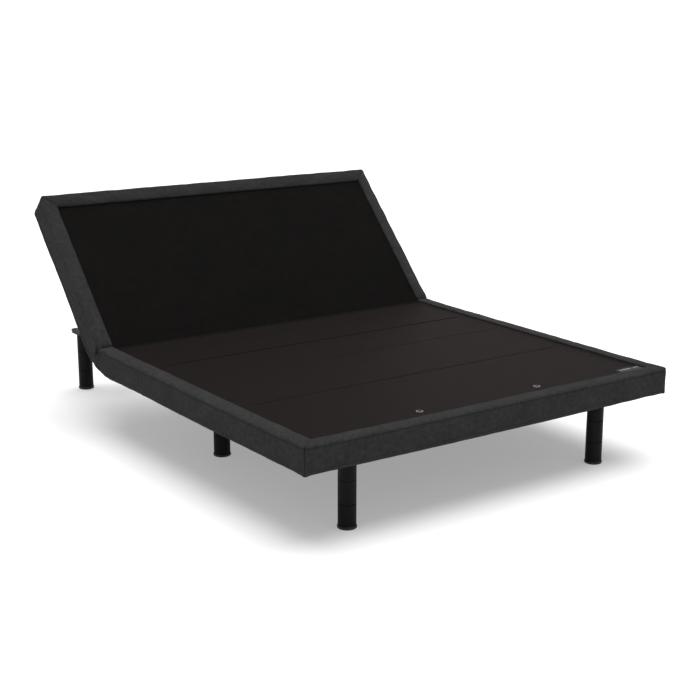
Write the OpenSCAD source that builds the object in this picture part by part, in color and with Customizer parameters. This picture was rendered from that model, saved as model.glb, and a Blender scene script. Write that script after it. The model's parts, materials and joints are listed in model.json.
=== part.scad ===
// Adjustable bed base: a steel frame on screw-in legs carries a fixed seat section.
// A head section and a thigh and calf section fold up from it, each pushed by a lift
// tube with two rollers that a linear actuator turns.
// X runs across the bed, +Y towards the head, +Z up. The origin is on the floor below
// the middle of the base as it stands with its head section raised.

/* [Overall size] */
// Width over the padded borders
base_w = 1511; // [1480:1:1530]
// Length over the padded borders with every section flat
base_l = 2035; // [2010:1:2045]
// Height of the underside above the floor, which is the leg height
leg_h = 240; // [180:1:260]
// Thickness of the upholstered sections
section_h = 97; // [95:1:105]

/* [Sections] */
// Length of the calf section, foot edge to knee
calf_l = 456; // [450:1:460]
// Length of the thigh section, knee to seat
thigh_l = 574; // [570:1:580]
// Length of the fixed seat section
seat_l = 319; // [315:0.5:322]
// Length of the lower of the two thigh boards
thigh_lower_board_l = 343; // [300:1:360]
// How far the head section is raised as the base stands, in degrees
head_angle = 46.2; // [10:0.1:60]

/* [Borders] */
// Width of the padded side borders
side_border_w = 55; // [50:1:58]
// Width of the padded borders at the foot and head ends
end_border_w = 47; // [44:1:52]
// Depth of the deck below the top of the borders
deck_recess = 10; // [8:1:12]
// Radius of the long top edges of the borders
edge_r = 18; // [10:1:20]
// Radius of the corners seen from above
corner_r = 25; // [15:1:30]

/* [Deck] */
// Thickness of the deck boards
board_t = 15; // [12:1:16]
// Gap between two boards at a fold
fold_gap = 16; // [16:1:18]
// Gap between the two thigh boards
thigh_board_gap = 4; // [2:0.5:6]
// Outer radius of a mattress retainer socket
socket_r = 11.5; // [10:0.5:13]
// Radius of the hole in a mattress retainer socket
socket_hole_r = 5.5; // [4:0.5:6]

/* [Frame] */
// Width of the frame tubes
tube_s = 40; // [38:1:40]
// Height of the frame tubes
tube_h = 44; // [42:1:44]
// Wall of all rectangular tubes
tube_wall = 1.5; // [1.2:0.1:2]
// Distance from the middle of the bed to the outer face of a side tube
side_tube_x = 530; // [525:1:530]
// Side of the section tubes below the boards
sub_s = 25; // [22:1:25]

/* [Legs] */
// Leg radius
leg_r = 29; // [25:1:30]
// Radius of the glide under a leg
glide_r = 31; // [29:1:33]
// Height of the glide under a leg
glide_h = 10; // [8:1:12]
// Distance of the corner legs from the middle of the bed
corner_leg_x = 527; // [520:1:530]
// Distance of the middle legs from the middle of the bed
middle_leg_x = 497; // [490:1:500]

/* [Lift] */
// Length of the head lift arms, tube to roller
head_arm_l = 300; // [298:1:302]
// Length of the thigh lift arms, tube to roller
thigh_arm_l = 240; // [238:1:242]
// Distance of the head lift tube behind the head fold
head_tube_offset = 60; // [59:1:61]
// Distance of the thigh lift tube ahead of the thigh fold
thigh_tube_offset = 50; // [49:1:51]
// Radius of the lift rollers
roller_r = 17.6; // [17:0.1:17.6]
// Turn of the head lift tube per degree of head lift
head_tube_ratio = 1.08; // [1.07:0.01:1.09]
// Turn of the thigh lift tube per degree of thigh lift
thigh_tube_ratio = 1.128; // [1.12:0.001:1.129]
// Distance of the push rods below the lift tubes
horn_drop = 80; // [78:1:82]

/* [Hidden] */
$fn = 48;

// Heights
z_top = leg_h + section_h;
z_deck = z_top - deck_recess;
z_board = z_deck - board_t;
z_sub = z_board - sub_s;
z_pin = z_deck - board_t / 2;
plate_t = 5;
z_tube = leg_h - 1;
z_plate = z_tube - plate_t;
z_tube_top = z_tube + tube_h;
z_lift = z_sub - 21;
z_rod = z_lift - horn_drop;

// Lengths, all measured from the foot edge of the base
y_knee = calf_l;
y_thigh_joint = y_knee + thigh_lower_board_l;
y_thigh = y_knee + thigh_l;
y_head = y_thigh + seat_l;
y_end = base_l;
y_bracket = 2092;
y_mid = y_bracket / 2;
y_foot_leg = 112;
y_middle_leg = 925;
y_head_leg = 1985;
y_frame = [85, 1968];
y_plate_end = 2016;
y_seat_tube = [y_thigh + 5, y_thigh + 5 + tube_s];
y_drive_tube = [y_head - 41, y_head - 41 + tube_s];
y_head_tube = y_head + head_tube_offset;
y_thigh_tube = y_thigh - thigh_tube_offset;

// Widths, on the right-hand side
x_out = base_w / 2;
x_deck = x_out - side_border_w;
rail_t = 18;
x_rail = [x_deck + 2, x_deck + 2 + rail_t];
x_side_tube = [side_tube_x - tube_s, side_tube_x];
x_runner = [257, 283];
x_hinges = [-450, 0, 450];
x_actuator = 140;
x_link = [side_tube_x + 3, side_tube_x + 9];

// Fits
run_fit = 0.06;
pin_r = 4;
stub_r = 8;
bush_r = 12;
roller_pin_r = 6;
link_pin_r = 6;
link_open_gap = 0.5;
push_pin_r = 5;
horn_slot_r = push_pin_r + 2.6;

// Lift angles
head_travel = 60;
thigh_travel = 35;
head_tube_mid = head_travel * head_tube_ratio / 2;
thigh_tube_mid = thigh_travel * thigh_tube_ratio / 2;
head_tube_angle = head_angle * head_tube_ratio;

// Push rod travel per radian of lift tube turn, as a share of the horn drop
head_rod_gain = 1.115;
thigh_rod_gain = 1.04;

// Helpers. Every y below is measured from the foot edge.
module slab(x, y, z) {
    translate([x[0], y[0] - y_mid, z[0]])
        cube([x[1] - x[0], y[1] - y[0], z[1] - z[0]]);
}

module rod_x(x, y, z, r) {
    translate([x[0], y - y_mid, z])
        rotate([0, 90, 0])
            cylinder(r = r, h = x[1] - x[0]);
}

module rod_y(x, y, z, r) {
    translate([x, y[0] - y_mid, z])
        rotate([-90, 0, 0])
            cylinder(r = r, h = y[1] - y[0]);
}

module rod_z(x, y, z, r) {
    translate([x, y - y_mid, z[0]])
        cylinder(r = r, h = z[1] - z[0]);
}

// A flat shape drawn in (y, z), y from the foot edge, given a thickness along X
module plate_x(x) {
    translate([x[0], -y_mid, 0])
        rotate([90, 0, 90])
            linear_extrude(height = x[1] - x[0])
                children();
}

// The same, with y from the middle of the base
module plate_from_edge(x) {
    translate([x[0], 0, 0])
        rotate([90, 0, 90])
            linear_extrude(height = x[1] - x[0])
                children();
}

// A flat shape drawn in (x, z), given a length along Y
module beam_y(y) {
    translate([0, y[1] - y_mid, 0])
        rotate([90, 0, 0])
            linear_extrude(height = y[1] - y[0])
                children();
}

module both_sides() {
    children();
    mirror([1, 0, 0])
        children();
}

// Turns about a line across the bed at height z
module turned(y, z, angle) {
    translate([0, y - y_mid, z])
        rotate([angle, 0, 0])
            translate([0, y_mid - y, -z])
                children();
}

module head_raised() {
    turned(y_head, z_pin, head_angle)
        children();
}

module head_tube_turned() {
    turned(y_head_tube, z_lift, head_tube_angle)
        children();
}

// Square tube along X or Y
module tube_along_x(x, y, z, wall) {
    difference() {
        slab(x, y, z);
        slab([x[0] - 1, x[1] + 1], [y[0] + wall, y[1] - wall], [z[0] + wall, z[1] - wall]);
    }
}

module tube_along_y(x, y, z, wall) {
    difference() {
        slab(x, y, z);
        slab([x[0] + wall, x[1] - wall], [y[0] - 1, y[1] + 1], [z[0] + wall, z[1] - wall]);
    }
}

// Frame
bolt_r = 4;
bolt_x = side_tube_x - tube_s / 2;
bolt_head_h = 4.5;
bolt_ys = [y_thigh + 32, y_head - 32];

module side_tube() {
    difference() {
        tube_along_y(x_side_tube, y_frame, [z_tube, z_tube_top], tube_wall);
        rod_x([side_tube_x - tube_wall - 1, side_tube_x + 1], y_thigh, z_lift, link_pin_r);
        for (y = [y_head_tube, y_thigh_tube])
            rod_x([x_side_tube[0] - 1, side_tube_x + 1], y, z_lift, bush_r);
        for (y = bolt_ys)
            rod_z(bolt_x, y, [z_tube - 1, z_tube_top + 1], bolt_r);
    }
}

module frame_side_tube_left() {
    color("#1c1c1d")
        mirror([1, 0, 0])
            side_tube();
}

module frame_side_tube_right() {
    color("#1c1c1d")
        side_tube();
}

module frame_cross_tubes() {
    x = [-x_side_tube[0], x_side_tube[0]];
    foot = [y_foot_leg - tube_s / 2, y_foot_leg + tube_s / 2];
    head = [y_frame[1] - 3 - tube_s, y_frame[1] - 3];
    color("#1c1c1d")
        for (y = [foot, y_seat_tube, y_drive_tube, head])
            tube_along_x(x, y, [z_tube, z_tube_top], tube_wall);
}

// Legs: three stacked sections on a stud, with a glide below
leg_spots = [
    [-corner_leg_x, y_foot_leg], [corner_leg_x, y_foot_leg],
    [-middle_leg_x, y_middle_leg], [middle_leg_x, y_middle_leg],
    [-corner_leg_x, y_head_leg], [corner_leg_x, y_head_leg]
];
leg_plate_s = 80;
stud_r = 5;
leg_seams = [glide_h, z_plate / 3 + 2, z_plate * 2 / 3 + 2, z_plate];
leg_wall = 2;
leg_cap_t = 4;
leg_chamfer = 1.2;
leg_joint_gap = 0.2;

module leg_section(x, y, z, h) {
    translate([x, y - y_mid, z])
        difference() {
            rotate_extrude()
                polygon([
                    [0, 0], [leg_r - leg_chamfer, 0], [leg_r, leg_chamfer],
                    [leg_r, h - leg_chamfer], [leg_r - leg_chamfer, h], [0, h]
                ]);
            translate([0, 0, leg_cap_t])
                cylinder(r = leg_r - leg_wall, h = h - 2 * leg_cap_t);
            translate([0, 0, -1])
                cylinder(r = stud_r, h = h + 2);
        }
}

module leg(i) {
    color("#1e1e1f")
        for (k = [0 : len(leg_seams) - 2])
            leg_section(
                leg_spots[i][0], leg_spots[i][1], leg_seams[k],
                leg_seams[k + 1] - leg_seams[k] - leg_joint_gap
            );
}

module leg_foot_left() { leg(0); }
module leg_foot_right() { leg(1); }
module leg_middle_pair() {
    leg(2);
    leg(3);
}

module leg_head_left() { leg(4); }
module leg_head_right() { leg(5); }

module leg_studs() {
    color("#8d8f92")
        for (s = leg_spots)
            rod_z(s[0], s[1], [glide_h - 6, z_tube], stud_r);
}

module leg_glides() {
    edge = 2;
    color("#101010")
        for (s = leg_spots)
            translate([s[0], s[1] - y_mid, 0])
                difference() {
                    rotate_extrude()
                        polygon([
                            [0, 0], [glide_r - edge, 0], [glide_r, edge],
                            [glide_r, glide_h - edge], [glide_r - edge, glide_h], [0, glide_h]
                        ]);
                    translate([0, 0, glide_h - 6])
                        cylinder(r = stud_r, h = 7);
                }
}

module leg_plates() {
    half = leg_plate_s / 2;
    color("#1c1c1d")
        for (s = leg_spots) {
            y_hi = min(s[1] + half, y_plate_end);
            difference() {
                slab([s[0] - half, s[0] + half], [s[1] - half, y_hi], [z_plate, z_tube]);
                rod_z(s[0], s[1], [z_plate - 1, z_tube + 1], stud_r);
            }
        }
}

// Headboard brackets: a strip welded to the end of each head leg plate, with a slot
bracket_t = 5;
bracket_w = 38;
bracket_x = 522;
bracket_z = 226;
slot_r = 4.5;
slot_l = 40;
slot_y = 2062;

module headboard_bracket() {
    x = [bracket_x - bracket_w / 2, bracket_x + bracket_w / 2];
    y_round = y_bracket - bracket_w / 2;
    color("#19191a")
        difference() {
            union() {
                slab(x, [y_plate_end, y_plate_end + bracket_t], [bracket_z, z_tube]);
                slab(x, [y_plate_end, y_round], [bracket_z, bracket_z + bracket_t]);
                rod_z(bracket_x, y_round, [bracket_z, bracket_z + bracket_t], bracket_w / 2);
            }
            slot_half = slot_l / 2 - slot_r;
            z = [bracket_z - 1, bracket_z + bracket_t + 1];
            slab([bracket_x - slot_r, bracket_x + slot_r], [slot_y - slot_half, slot_y + slot_half], z);
            for (s = [-1, 1])
                rod_z(bracket_x, slot_y + s * slot_half, z, slot_r);
        }
}

module headboard_bracket_left() {
    mirror([1, 0, 0])
        headboard_bracket();
}

module headboard_bracket_right() {
    headboard_bracket();
}

module frame_bolts() {
    head_r = 7.5;
    color("#7d7f82")
        for (sx = [-1, 1], y = bolt_ys) {
            rod_z(sx * bolt_x, y, [z_tube, z_board], bolt_r);
            translate([sx * bolt_x, y - y_mid, z_tube - bolt_head_h])
                cylinder(r = head_r, h = bolt_head_h, $fn = 6);
        }
}

// Rubber bumpers that the raised sections come down on
module rest_bumpers() {
    r = 9;
    gap = 0.3;
    color("#0e0e0e")
        for (sx = [-1, 1], y = [y_knee - 260, y_knee - 60, y_knee + 150, y_head + 250, y_head + 500])
            rod_z(sx * bolt_x, y, [z_tube_top, z_sub - gap], r);
}

// Deck boards
module deck_board(y) {
    slab([-x_deck, x_deck], y, [z_board, z_deck]);
}

half_gap = fold_gap / 2;
board_colour = "#2a2424";

module seat_board() {
    color(board_colour)
        deck_board([y_thigh + half_gap, y_head - half_gap]);
}

module head_board() {
    color("#181615")
        head_raised()
            deck_board([y_head + half_gap, y_end - end_border_w]);
}

module thigh_board_upper() {
    color(board_colour)
        deck_board([y_thigh_joint + thigh_board_gap / 2, y_thigh - half_gap]);
}

module thigh_board_lower() {
    color(board_colour)
        deck_board([y_knee + half_gap, y_thigh_joint - thigh_board_gap / 2]);
}

socket_spots = [[-260, 100], [233, 100]];

module calf_board() {
    color(board_colour)
        difference() {
            deck_board([end_border_w, y_knee - half_gap]);
            for (s = socket_spots)
                rod_z(s[0], s[1], [z_board - 1, z_deck + 1], socket_hole_r + 2);
        }
}

module retainer_sockets() {
    flange_t = 2;
    color("#b8b8b6")
        for (s = socket_spots)
            difference() {
                union() {
                    rod_z(s[0], s[1], [z_deck, z_deck + flange_t], socket_r);
                    rod_z(s[0], s[1], [z_board, z_deck], socket_hole_r + 2);
                }
                rod_z(s[0], s[1], [z_board - 1, z_deck + flange_t + 1], socket_hole_r);
            }
}

// Section frames below the boards: two cross members and the runners between them
member_gap = 22;

module section_frame(y, z, xs) {
    ends = [[y[0], y[0] + sub_s], [y[1] - sub_s, y[1]]];
    for (e = ends)
        tube_along_x([-x_rail[0], x_rail[0]], e, z, tube_wall);
    for (sx = [-1, 1], x = xs)
        tube_along_y(
            [sx * x - sub_s / 2, sx * x + sub_s / 2], [y[0] + sub_s, y[1] - sub_s], z, tube_wall
        );
}

runner_x = (x_runner[0] + x_runner[1]) / 2;
sub_z = [z_sub, z_board];

module seat_subframe() {
    color("#1c1c1d")
        difference() {
            section_frame([y_thigh + member_gap, y_head - member_gap], [z_tube_top, z_board], [bolt_x]);
            for (sx = [-1, 1], y = bolt_ys)
                rod_z(sx * bolt_x, y, [z_tube_top - 1, z_board + 1], bolt_r);
        }
}

module head_subframe() {
    color("#1c1c1d")
        head_raised()
            section_frame([y_head + member_gap, y_end - end_border_w - 8], sub_z, [runner_x, bolt_x]);
}

module thigh_subframe() {
    color("#1c1c1d")
        section_frame([y_knee + member_gap, y_thigh - member_gap], sub_z, [runner_x, bolt_x]);
}

// The calf frame also carries the lugs that the support links hang from
module calf_subframe() {
    color("#1c1c1d")
        section_frame([end_border_w + 8, y_knee - member_gap], sub_z, [runner_x, bolt_x]);
}

// Plates welded under the calf subframe, each with the pin that its link carries.
module calf_link_lugs() {
    y_member = y_knee - member_gap;
    lug_x = [x_link[1] + 2, x_link[1] + 7];
    end_r = 9.5;
    color("#1c1c1d")
        both_sides() {
            plate_x(lug_x) {
                translate([y_knee, z_lift])
                    circle(r = end_r);
                polygon([
                    [y_knee - end_r, z_lift], [y_knee + end_r, z_lift], [y_member, z_sub],
                    [y_member - sub_s, z_sub]
                ]);
            }
            rod_x([side_tube_x + 1.5, lug_x[1]], y_knee, z_lift, link_pin_r);
        }
}

// Outline of a side rail seen from the side, as a flat shape in (y, z).
// A rising fold has a rounded top corner, and the knee has a cut back lower corner.
knee_mitre = thigh_travel / 2 + 1;
knee_end_gap = 2;
rise_end_gap = 3.5;
rise_round = 8;
head_end_gap = 4;
head_round = z_top - z_pin;

module below(z) {
    translate([-base_l, z - base_l])
        square([3 * base_l, base_l]);
}

// One end of an outline, from the fold at y to a far limit. dir is +1 on the head side of
// the fold and -1 on its foot side.
module fold_end(y, dir, gap, round, lower_cut, far) {
    edge = y + dir * gap;
    inner = edge + dir * round;
    low_y = edge + dir * lower_cut[0];
    low_z = leg_h + lower_cut[1];
    polygon([
        [far, leg_h], [low_y, leg_h], [edge, low_z],
        [edge, z_top - round], [inner, z_top], [far, z_top]
    ]);
    translate([inner, z_top - round])
        circle(r = round);
}

module seat_outline() {
    y = (y_thigh + y_head) / 2;
    fold_end(y_thigh, 1, rise_end_gap, rise_round, [0, 0], y);
    fold_end(y_head, -1, head_end_gap, head_round, [50, 22], y);
}

module head_outline() {
    fold_end(y_head, 1, head_end_gap, head_round, [34, 24], y_end - end_border_w);
}

module thigh_outline() {
    y = y_thigh_joint;
    knee_cut = (z_pin - leg_h) * tan(knee_mitre);
    fold_end(y_thigh, -1, rise_end_gap, rise_round, [0, 0], y);
    fold_end(y_knee, 1, knee_end_gap, 2, [knee_cut, z_pin - leg_h], y);
}

module calf_outline() {
    knee_cut = (z_pin - leg_h) * tan(knee_mitre);
    fold_end(y_knee, -1, knee_end_gap, 2, [knee_cut, z_pin - leg_h], end_border_w);
}

// Wooden rails inside the borders
rail_top = z_deck - 2;

module side_rails() {
    both_sides()
        plate_x(x_rail)
            intersection() {
                children();
                below(rail_top);
            }
}

// The rail across an end: y is the inner edge of the border and dir points outwards
module end_rail(y, dir) {
    ends = [y + dir * 2, y + dir * (2 + rail_t)];
    slab([-x_rail[1], x_rail[1]], [min(ends), max(ends)], [leg_h, rail_top]);
}

module seat_rails() {
    color("#c8a878")
        side_rails()
            seat_outline();
}

module head_rails() {
    color("#c8a878")
        head_raised() {
            side_rails()
                head_outline();
            end_rail(y_end - end_border_w, 1);
        }
}

module thigh_rails() {
    color("#c8a878")
        side_rails()
            thigh_outline();
}

module calf_rails() {
    color("#c8a878") {
        side_rails()
            calf_outline();
        end_rail(end_border_w, -1);
    }
}

// Padded borders: foam and cover over the outside and top of a rail
under_r = 6;

module rounded_corner(r) {
    difference() {
        square(r);
        circle(r = r);
    }
}

// Section of a right-hand side border in (x, z)
module side_border_section() {
    difference() {
        translate([x_deck, leg_h])
            square([side_border_w, section_h]);
        translate([x_deck - 1, leg_h - 1])
            square([x_rail[1] - x_deck + 1, rail_top - leg_h + 1]);
        translate([x_out - edge_r, z_top - edge_r])
            rounded_corner(edge_r);
        translate([x_out - under_r, leg_h + under_r])
            mirror([0, 1])
                rounded_corner(under_r);
    }
}

// Section of the foot border in (y, z) from its outer edge; dir = -1 mirrors it for the head
module end_border_section(dir) {
    mirror([dir < 0 ? 1 : 0, 0])
        difference() {
            translate([0, leg_h])
                square([end_border_w, section_h]);
            translate([end_border_w - rail_t - 2, leg_h - 1])
                square([rail_t + 3, rail_top - leg_h + 1]);
            translate([edge_r, z_top - edge_r])
                mirror([1, 0])
                    rounded_corner(edge_r);
            translate([under_r, leg_h + under_r])
                mirror([1, 0])
                    mirror([0, 1])
                        rounded_corner(under_r);
        }
}

// The end section is drawn from its own edge, so it is moved to the edge at y
module end_border_block(y, dir) {
    translate([0, y - y_mid, 0])
        plate_from_edge([-x_out, x_out])
            end_border_section(dir);
}

module side_borders(y) {
    both_sides()
        intersection() {
            beam_y(y)
                side_border_section();
            plate_x([x_deck - 1, x_out + 1])
                children();
        }
}

// Keeps an end border inside a plan with rounded corners at the end y
module end_border(y, dir) {
    intersection() {
        end_border_block(y, dir);
        union() {
            wide = [y - end_border_w, y + end_border_w];
            slab([-x_out + corner_r, x_out - corner_r], wide, [leg_h, z_top]);
            both_sides()
                rod_z(x_out - corner_r, y + dir * corner_r, [leg_h, z_top], corner_r);
            inner = [y + dir * corner_r, y + dir * (end_border_w + 1)];
            slab([-x_out, x_out], [min(inner), max(inner)], [leg_h, z_top]);
        }
    }
}

// The space in an end border that its rail fills
module end_rail_space(y, dir) {
    ends = [y - dir, y + dir * (2 + rail_t)];
    slab([-x_rail[1], x_rail[1]], [min(ends), max(ends)], [leg_h - 1, rail_top]);
}

border_colour = "#343434";

module seat_borders() {
    color(border_colour)
        side_borders([y_thigh, y_head])
            seat_outline();
}

module head_side_borders() {
    color(border_colour)
        head_raised()
            side_borders([y_head, y_end - end_border_w])
                head_outline();
}

module head_end_border() {
    color(border_colour)
        head_raised()
            difference() {
                end_border(y_end, -1);
                end_rail_space(y_end - end_border_w, 1);
            }
}

module thigh_borders() {
    color(border_colour)
        side_borders([y_knee, y_thigh])
            thigh_outline();
}

module calf_side_borders() {
    color(border_colour)
        side_borders([end_border_w, y_knee])
            calf_outline();
}

module calf_foot_border() {
    color(border_colour)
        difference() {
            end_border(0, 1);
            end_rail_space(end_border_w, -1);
        }
}

// Hinge lugs: a plate from a cross member up to the pin on the fold
lug_t = 6;
lug_r = 6.2;
lug_outer = 16;
lug_inner = 8;

module hinge_lug_outline(y, dir, bore_r) {
    difference() {
        union() {
            translate([y, z_pin])
                circle(r = lug_r);
            translate([y, z_pin])
                scale([dir, 1])
                    polygon([
                        [-2, -5], [-1, -17], [member_gap, -30], [member_gap, -9.5], [6, -9.5], [6, 0]
                    ]);
        }
        translate([y, z_pin])
            circle(r = bore_r);
    }
}

module hinge_lugs(y, dir, offset_x, bore_r) {
    for (x = x_hinges, s = [-1, 1]) {
        x_lug = x + s * (offset_x + lug_t / 2);
        plate_x([x_lug - lug_t / 2, x_lug + lug_t / 2])
            hinge_lug_outline(y, dir, bore_r);
    }
}

module hinge_pins(y) {
    for (x = x_hinges)
        rod_x([x - 25, x + 25], y, z_pin, pin_r);
}

module seat_hinge_lugs() {
    color("#1c1c1d") {
        hinge_lugs(y_head, -1, lug_outer, pin_r);
        hinge_lugs(y_thigh, 1, lug_outer, pin_r);
    }
}

module fold_hinge_pins() {
    color("#9a9c9f") {
        hinge_pins(y_head);
        hinge_pins(y_thigh);
    }
}

module head_hinge_lugs() {
    color("#1c1c1d")
        head_raised()
            hinge_lugs(y_head, 1, lug_inner, pin_r + run_fit);
}

module thigh_hinge_lugs() {
    color("#1c1c1d") {
        hinge_lugs(y_thigh, -1, lug_inner, pin_r + run_fit);
        hinge_lugs(y_knee, 1, lug_outer, pin_r);
    }
}

module knee_hinge_pins() {
    color("#9a9c9f")
        hinge_pins(y_knee);
}

module calf_hinge_lugs() {
    color("#1c1c1d")
        hinge_lugs(y_knee, -1, lug_inner, pin_r + run_fit);
}

// Lift tubes: a round tube across the frame with two arms and a slotted double horn
lift_tube_r = 17;
lift_tube_x = x_side_tube[0] - 4;
arm_t = 8;
arm_w = 30;
arm_x = [x_runner[0] - 4 - arm_t, x_runner[0] - 4];
roller_x = [x_runner[0], x_runner[1]];
horn_w = 40;
horn_gap = 14;
horn_t = 6;

// Radii of the push pin's path along the horn, nearest and farthest
function horn_reach(mid) = [horn_drop - 1, horn_drop / cos(mid) + 1.5];

module arm_outline(y, dir, len) {
    translate([y, z_lift]) {
        translate([min(0, dir * len), -arm_w / 2])
            square([len, arm_w]);
        translate([dir * len, 0])
            circle(r = arm_w / 2);
        circle(r = lift_tube_r + 3);
    }
}

// The horn points straight down when the tube is half way through its turn
module horn_outline(y, mid, turn) {
    reach = horn_reach(mid);
    translate([y, z_lift])
        rotate(turn)
            difference() {
                union() {
                    translate([-horn_w / 2, -reach[1]])
                        square([horn_w, reach[1]]);
                    translate([0, -reach[1]])
                        circle(r = horn_w / 2);
                    circle(r = horn_w / 2);
                }
                translate([-horn_slot_r, -reach[1]])
                    square([2 * horn_slot_r, reach[1] - reach[0]]);
                for (r = reach)
                    translate([0, -r])
                        circle(r = horn_slot_r);
            }
}

// dir is +1 for arms that point to the head and -1 for arms that point to the foot
module lift_tube(y, dir, len, mid, horn_x) {
    difference() {
        lift_tube_solid(y, dir, len, mid, horn_x);
        rod_x([4 - lift_tube_x, lift_tube_x - 4], y, z_lift, lift_tube_r - 3);
    }
}

module lift_tube_solid(y, dir, len, mid, horn_x) {
    rod_x([-lift_tube_x, lift_tube_x], y, z_lift, lift_tube_r);
    both_sides() {
        rod_x([lift_tube_x, side_tube_x], y, z_lift, stub_r);
        plate_x(arm_x)
            arm_outline(y, dir, len);
        rod_x([arm_x[0], roller_x[1] + 3], y + dir * len, z_lift, roller_pin_r);
    }
    for (s = [-1, 1]) {
        x = horn_x + s * (horn_gap + horn_t / 2);
        plate_x([x - horn_t / 2, x + horn_t / 2])
            horn_outline(y, mid, -dir * mid);
    }
}

module lift_rollers(y) {
    both_sides()
        difference() {
            rod_x(roller_x, y, z_lift, roller_r);
            rod_x([roller_x[0] - 1, roller_x[1] + 1], y, z_lift, roller_pin_r + run_fit);
        }
}

module head_lift_tube() {
    color("#1c1c1d")
        head_tube_turned()
            lift_tube(y_head_tube, 1, head_arm_l, head_tube_mid, -x_actuator);
}

module head_lift_rollers() {
    color("#e6e4de")
        head_tube_turned()
            lift_rollers(y_head_tube + head_arm_l);
}

module thigh_lift_tube() {
    color("#1c1c1d")
        lift_tube(y_thigh_tube, -1, thigh_arm_l, thigh_tube_mid, x_actuator);
}

module thigh_lift_rollers() {
    color("#e6e4de")
        lift_rollers(y_thigh_tube - thigh_arm_l);
}

module lift_tube_bushes() {
    flange_t = 1.5;
    color("#e6e4de")
        both_sides()
            for (y = [y_head_tube, y_thigh_tube])
                difference() {
                    union() {
                        rod_x(x_side_tube, y, z_lift, bush_r);
                        rod_x([x_side_tube[0] - flange_t, x_side_tube[0]], y, z_lift, bush_r + 3);
                    }
                    rod_x([x_side_tube[0] - 5, side_tube_x + 1], y, z_lift, stub_r + run_fit);
                }
}

// Nylon pads that the rollers press on. The head pads are crowned, because the head
// lift arms swing much farther.
pad_t = 3;
crown_r = 60.1;
crown_y = 322.2;
crown_z = 14.7;

module head_roller_pads() {
    y = y_head + crown_y;
    color("#e6e4de")
        head_raised()
            both_sides()
                plate_x(x_runner) {
                    translate([y_head + 240, z_sub - pad_t])
                        square([180, pad_t]);
                    intersection() {
                        translate([y, z_pin + crown_z])
                            circle(r = crown_r, $fn = 96);
                        translate([y - 60, z_sub - 20])
                            square([120, 20 - pad_t / 2]);
                    }
                }
}

module thigh_roller_pads() {
    color("#e6e4de")
        both_sides()
            slab(x_runner, [y_thigh - 330, y_thigh - 230], [z_sub - pad_t, z_sub]);
}

// Actuators: gear and motor housing, outer tube, and a push rod with a cross pin.
// dir is +1 for the one that pushes to the head and -1 for the one that pushes to the foot.
actuator_tube_r = 22;
push_rod_r = 10;
gear_l = 90;
gear_w = 64;
gear_h = 76;
motor_r = 27;
motor_l = 108;
eye_w = 22;
eye_r = 14;
mount_pin_r = 6;
mount_reach = 16;
gear_start = 20;
tube_l = 170;

y_head_mount = y_seat_tube[0] - mount_reach;
y_thigh_mount = y_drive_tube[1] + mount_reach;

module along(y, dir, span, x, z) {
    ends = [y + dir * span[0], y + dir * span[1]];
    slab(x, [min(ends), max(ends)], z);
}

module actuator_housing(x, y, dir) {
    sx = x > 0 ? -1 : 1;
    motor = [x + sx * gear_w / 2, x + sx * (gear_w / 2 + motor_l)];
    difference() {
        union() {
            along(y, dir, [gear_start, gear_start + gear_l], [x - gear_w / 2, x + gear_w / 2],
                [z_rod - gear_h / 2, z_rod + gear_h / 2]);
            along(y, dir, [0, gear_start], [x - eye_w / 2, x + eye_w / 2], [z_rod - eye_r, z_rod + eye_r]);
            rod_x([x - eye_w / 2, x + eye_w / 2], y, z_rod, eye_r);
            rod_x([min(motor), max(motor)], y + dir * (gear_start + gear_l / 2), z_rod, motor_r);
        }
        rod_x([x - eye_w / 2 - 1, x + eye_w / 2 + 1], y, z_rod, mount_pin_r);
    }
}

module actuator_tube(x, y, dir) {
    start = gear_start + gear_l;
    ends = [y + dir * start, y + dir * (start + tube_l)];
    gland = [ends[1] - dir * 12, ends[1]];
    bore = [ends[0] + dir * 6, ends[1] + dir];
    difference() {
        union() {
            rod_y(x, [min(ends), max(ends)], z_rod, actuator_tube_r);
            rod_y(x, [min(gland), max(gland)], z_rod, actuator_tube_r + 3);
        }
        rod_y(x, [min(bore), max(bore)], z_rod, push_rod_r + run_fit);
    }
}

module actuator_rod(x, y_pin, y_back, dir) {
    ends = [y_back, y_pin + dir * 12];
    rod_y(x, [min(ends), max(ends)], z_rod, push_rod_r);
    rod_x([x - horn_gap - horn_t - 4, x + horn_gap + horn_t + 4], y_pin, z_rod, push_pin_r);
}

rad = PI / 180;
y_head_push = y_head_tube + horn_drop * head_rod_gain * (head_tube_angle - head_tube_mid) * rad;
y_thigh_push = y_thigh_tube + horn_drop * thigh_rod_gain * thigh_tube_mid * rad;
rod_l = 212;

module head_actuator_housing() {
    color("#232324")
        actuator_housing(-x_actuator, y_head_mount, 1);
}

module head_actuator_tube() {
    color("#b9bcc0")
        actuator_tube(-x_actuator, y_head_mount, 1);
}

module head_actuator_rod() {
    color("#d0d2d4")
        actuator_rod(-x_actuator, y_head_push, y_head_push - rod_l, 1);
}

module thigh_actuator_housing() {
    color("#232324")
        actuator_housing(x_actuator, y_thigh_mount, -1);
}

module thigh_actuator_tube() {
    color("#b9bcc0")
        actuator_tube(x_actuator, y_thigh_mount, -1);
}

module thigh_actuator_rod() {
    color("#d0d2d4")
        actuator_rod(x_actuator, y_thigh_push, y_thigh_push + rod_l, -1);
}

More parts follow.
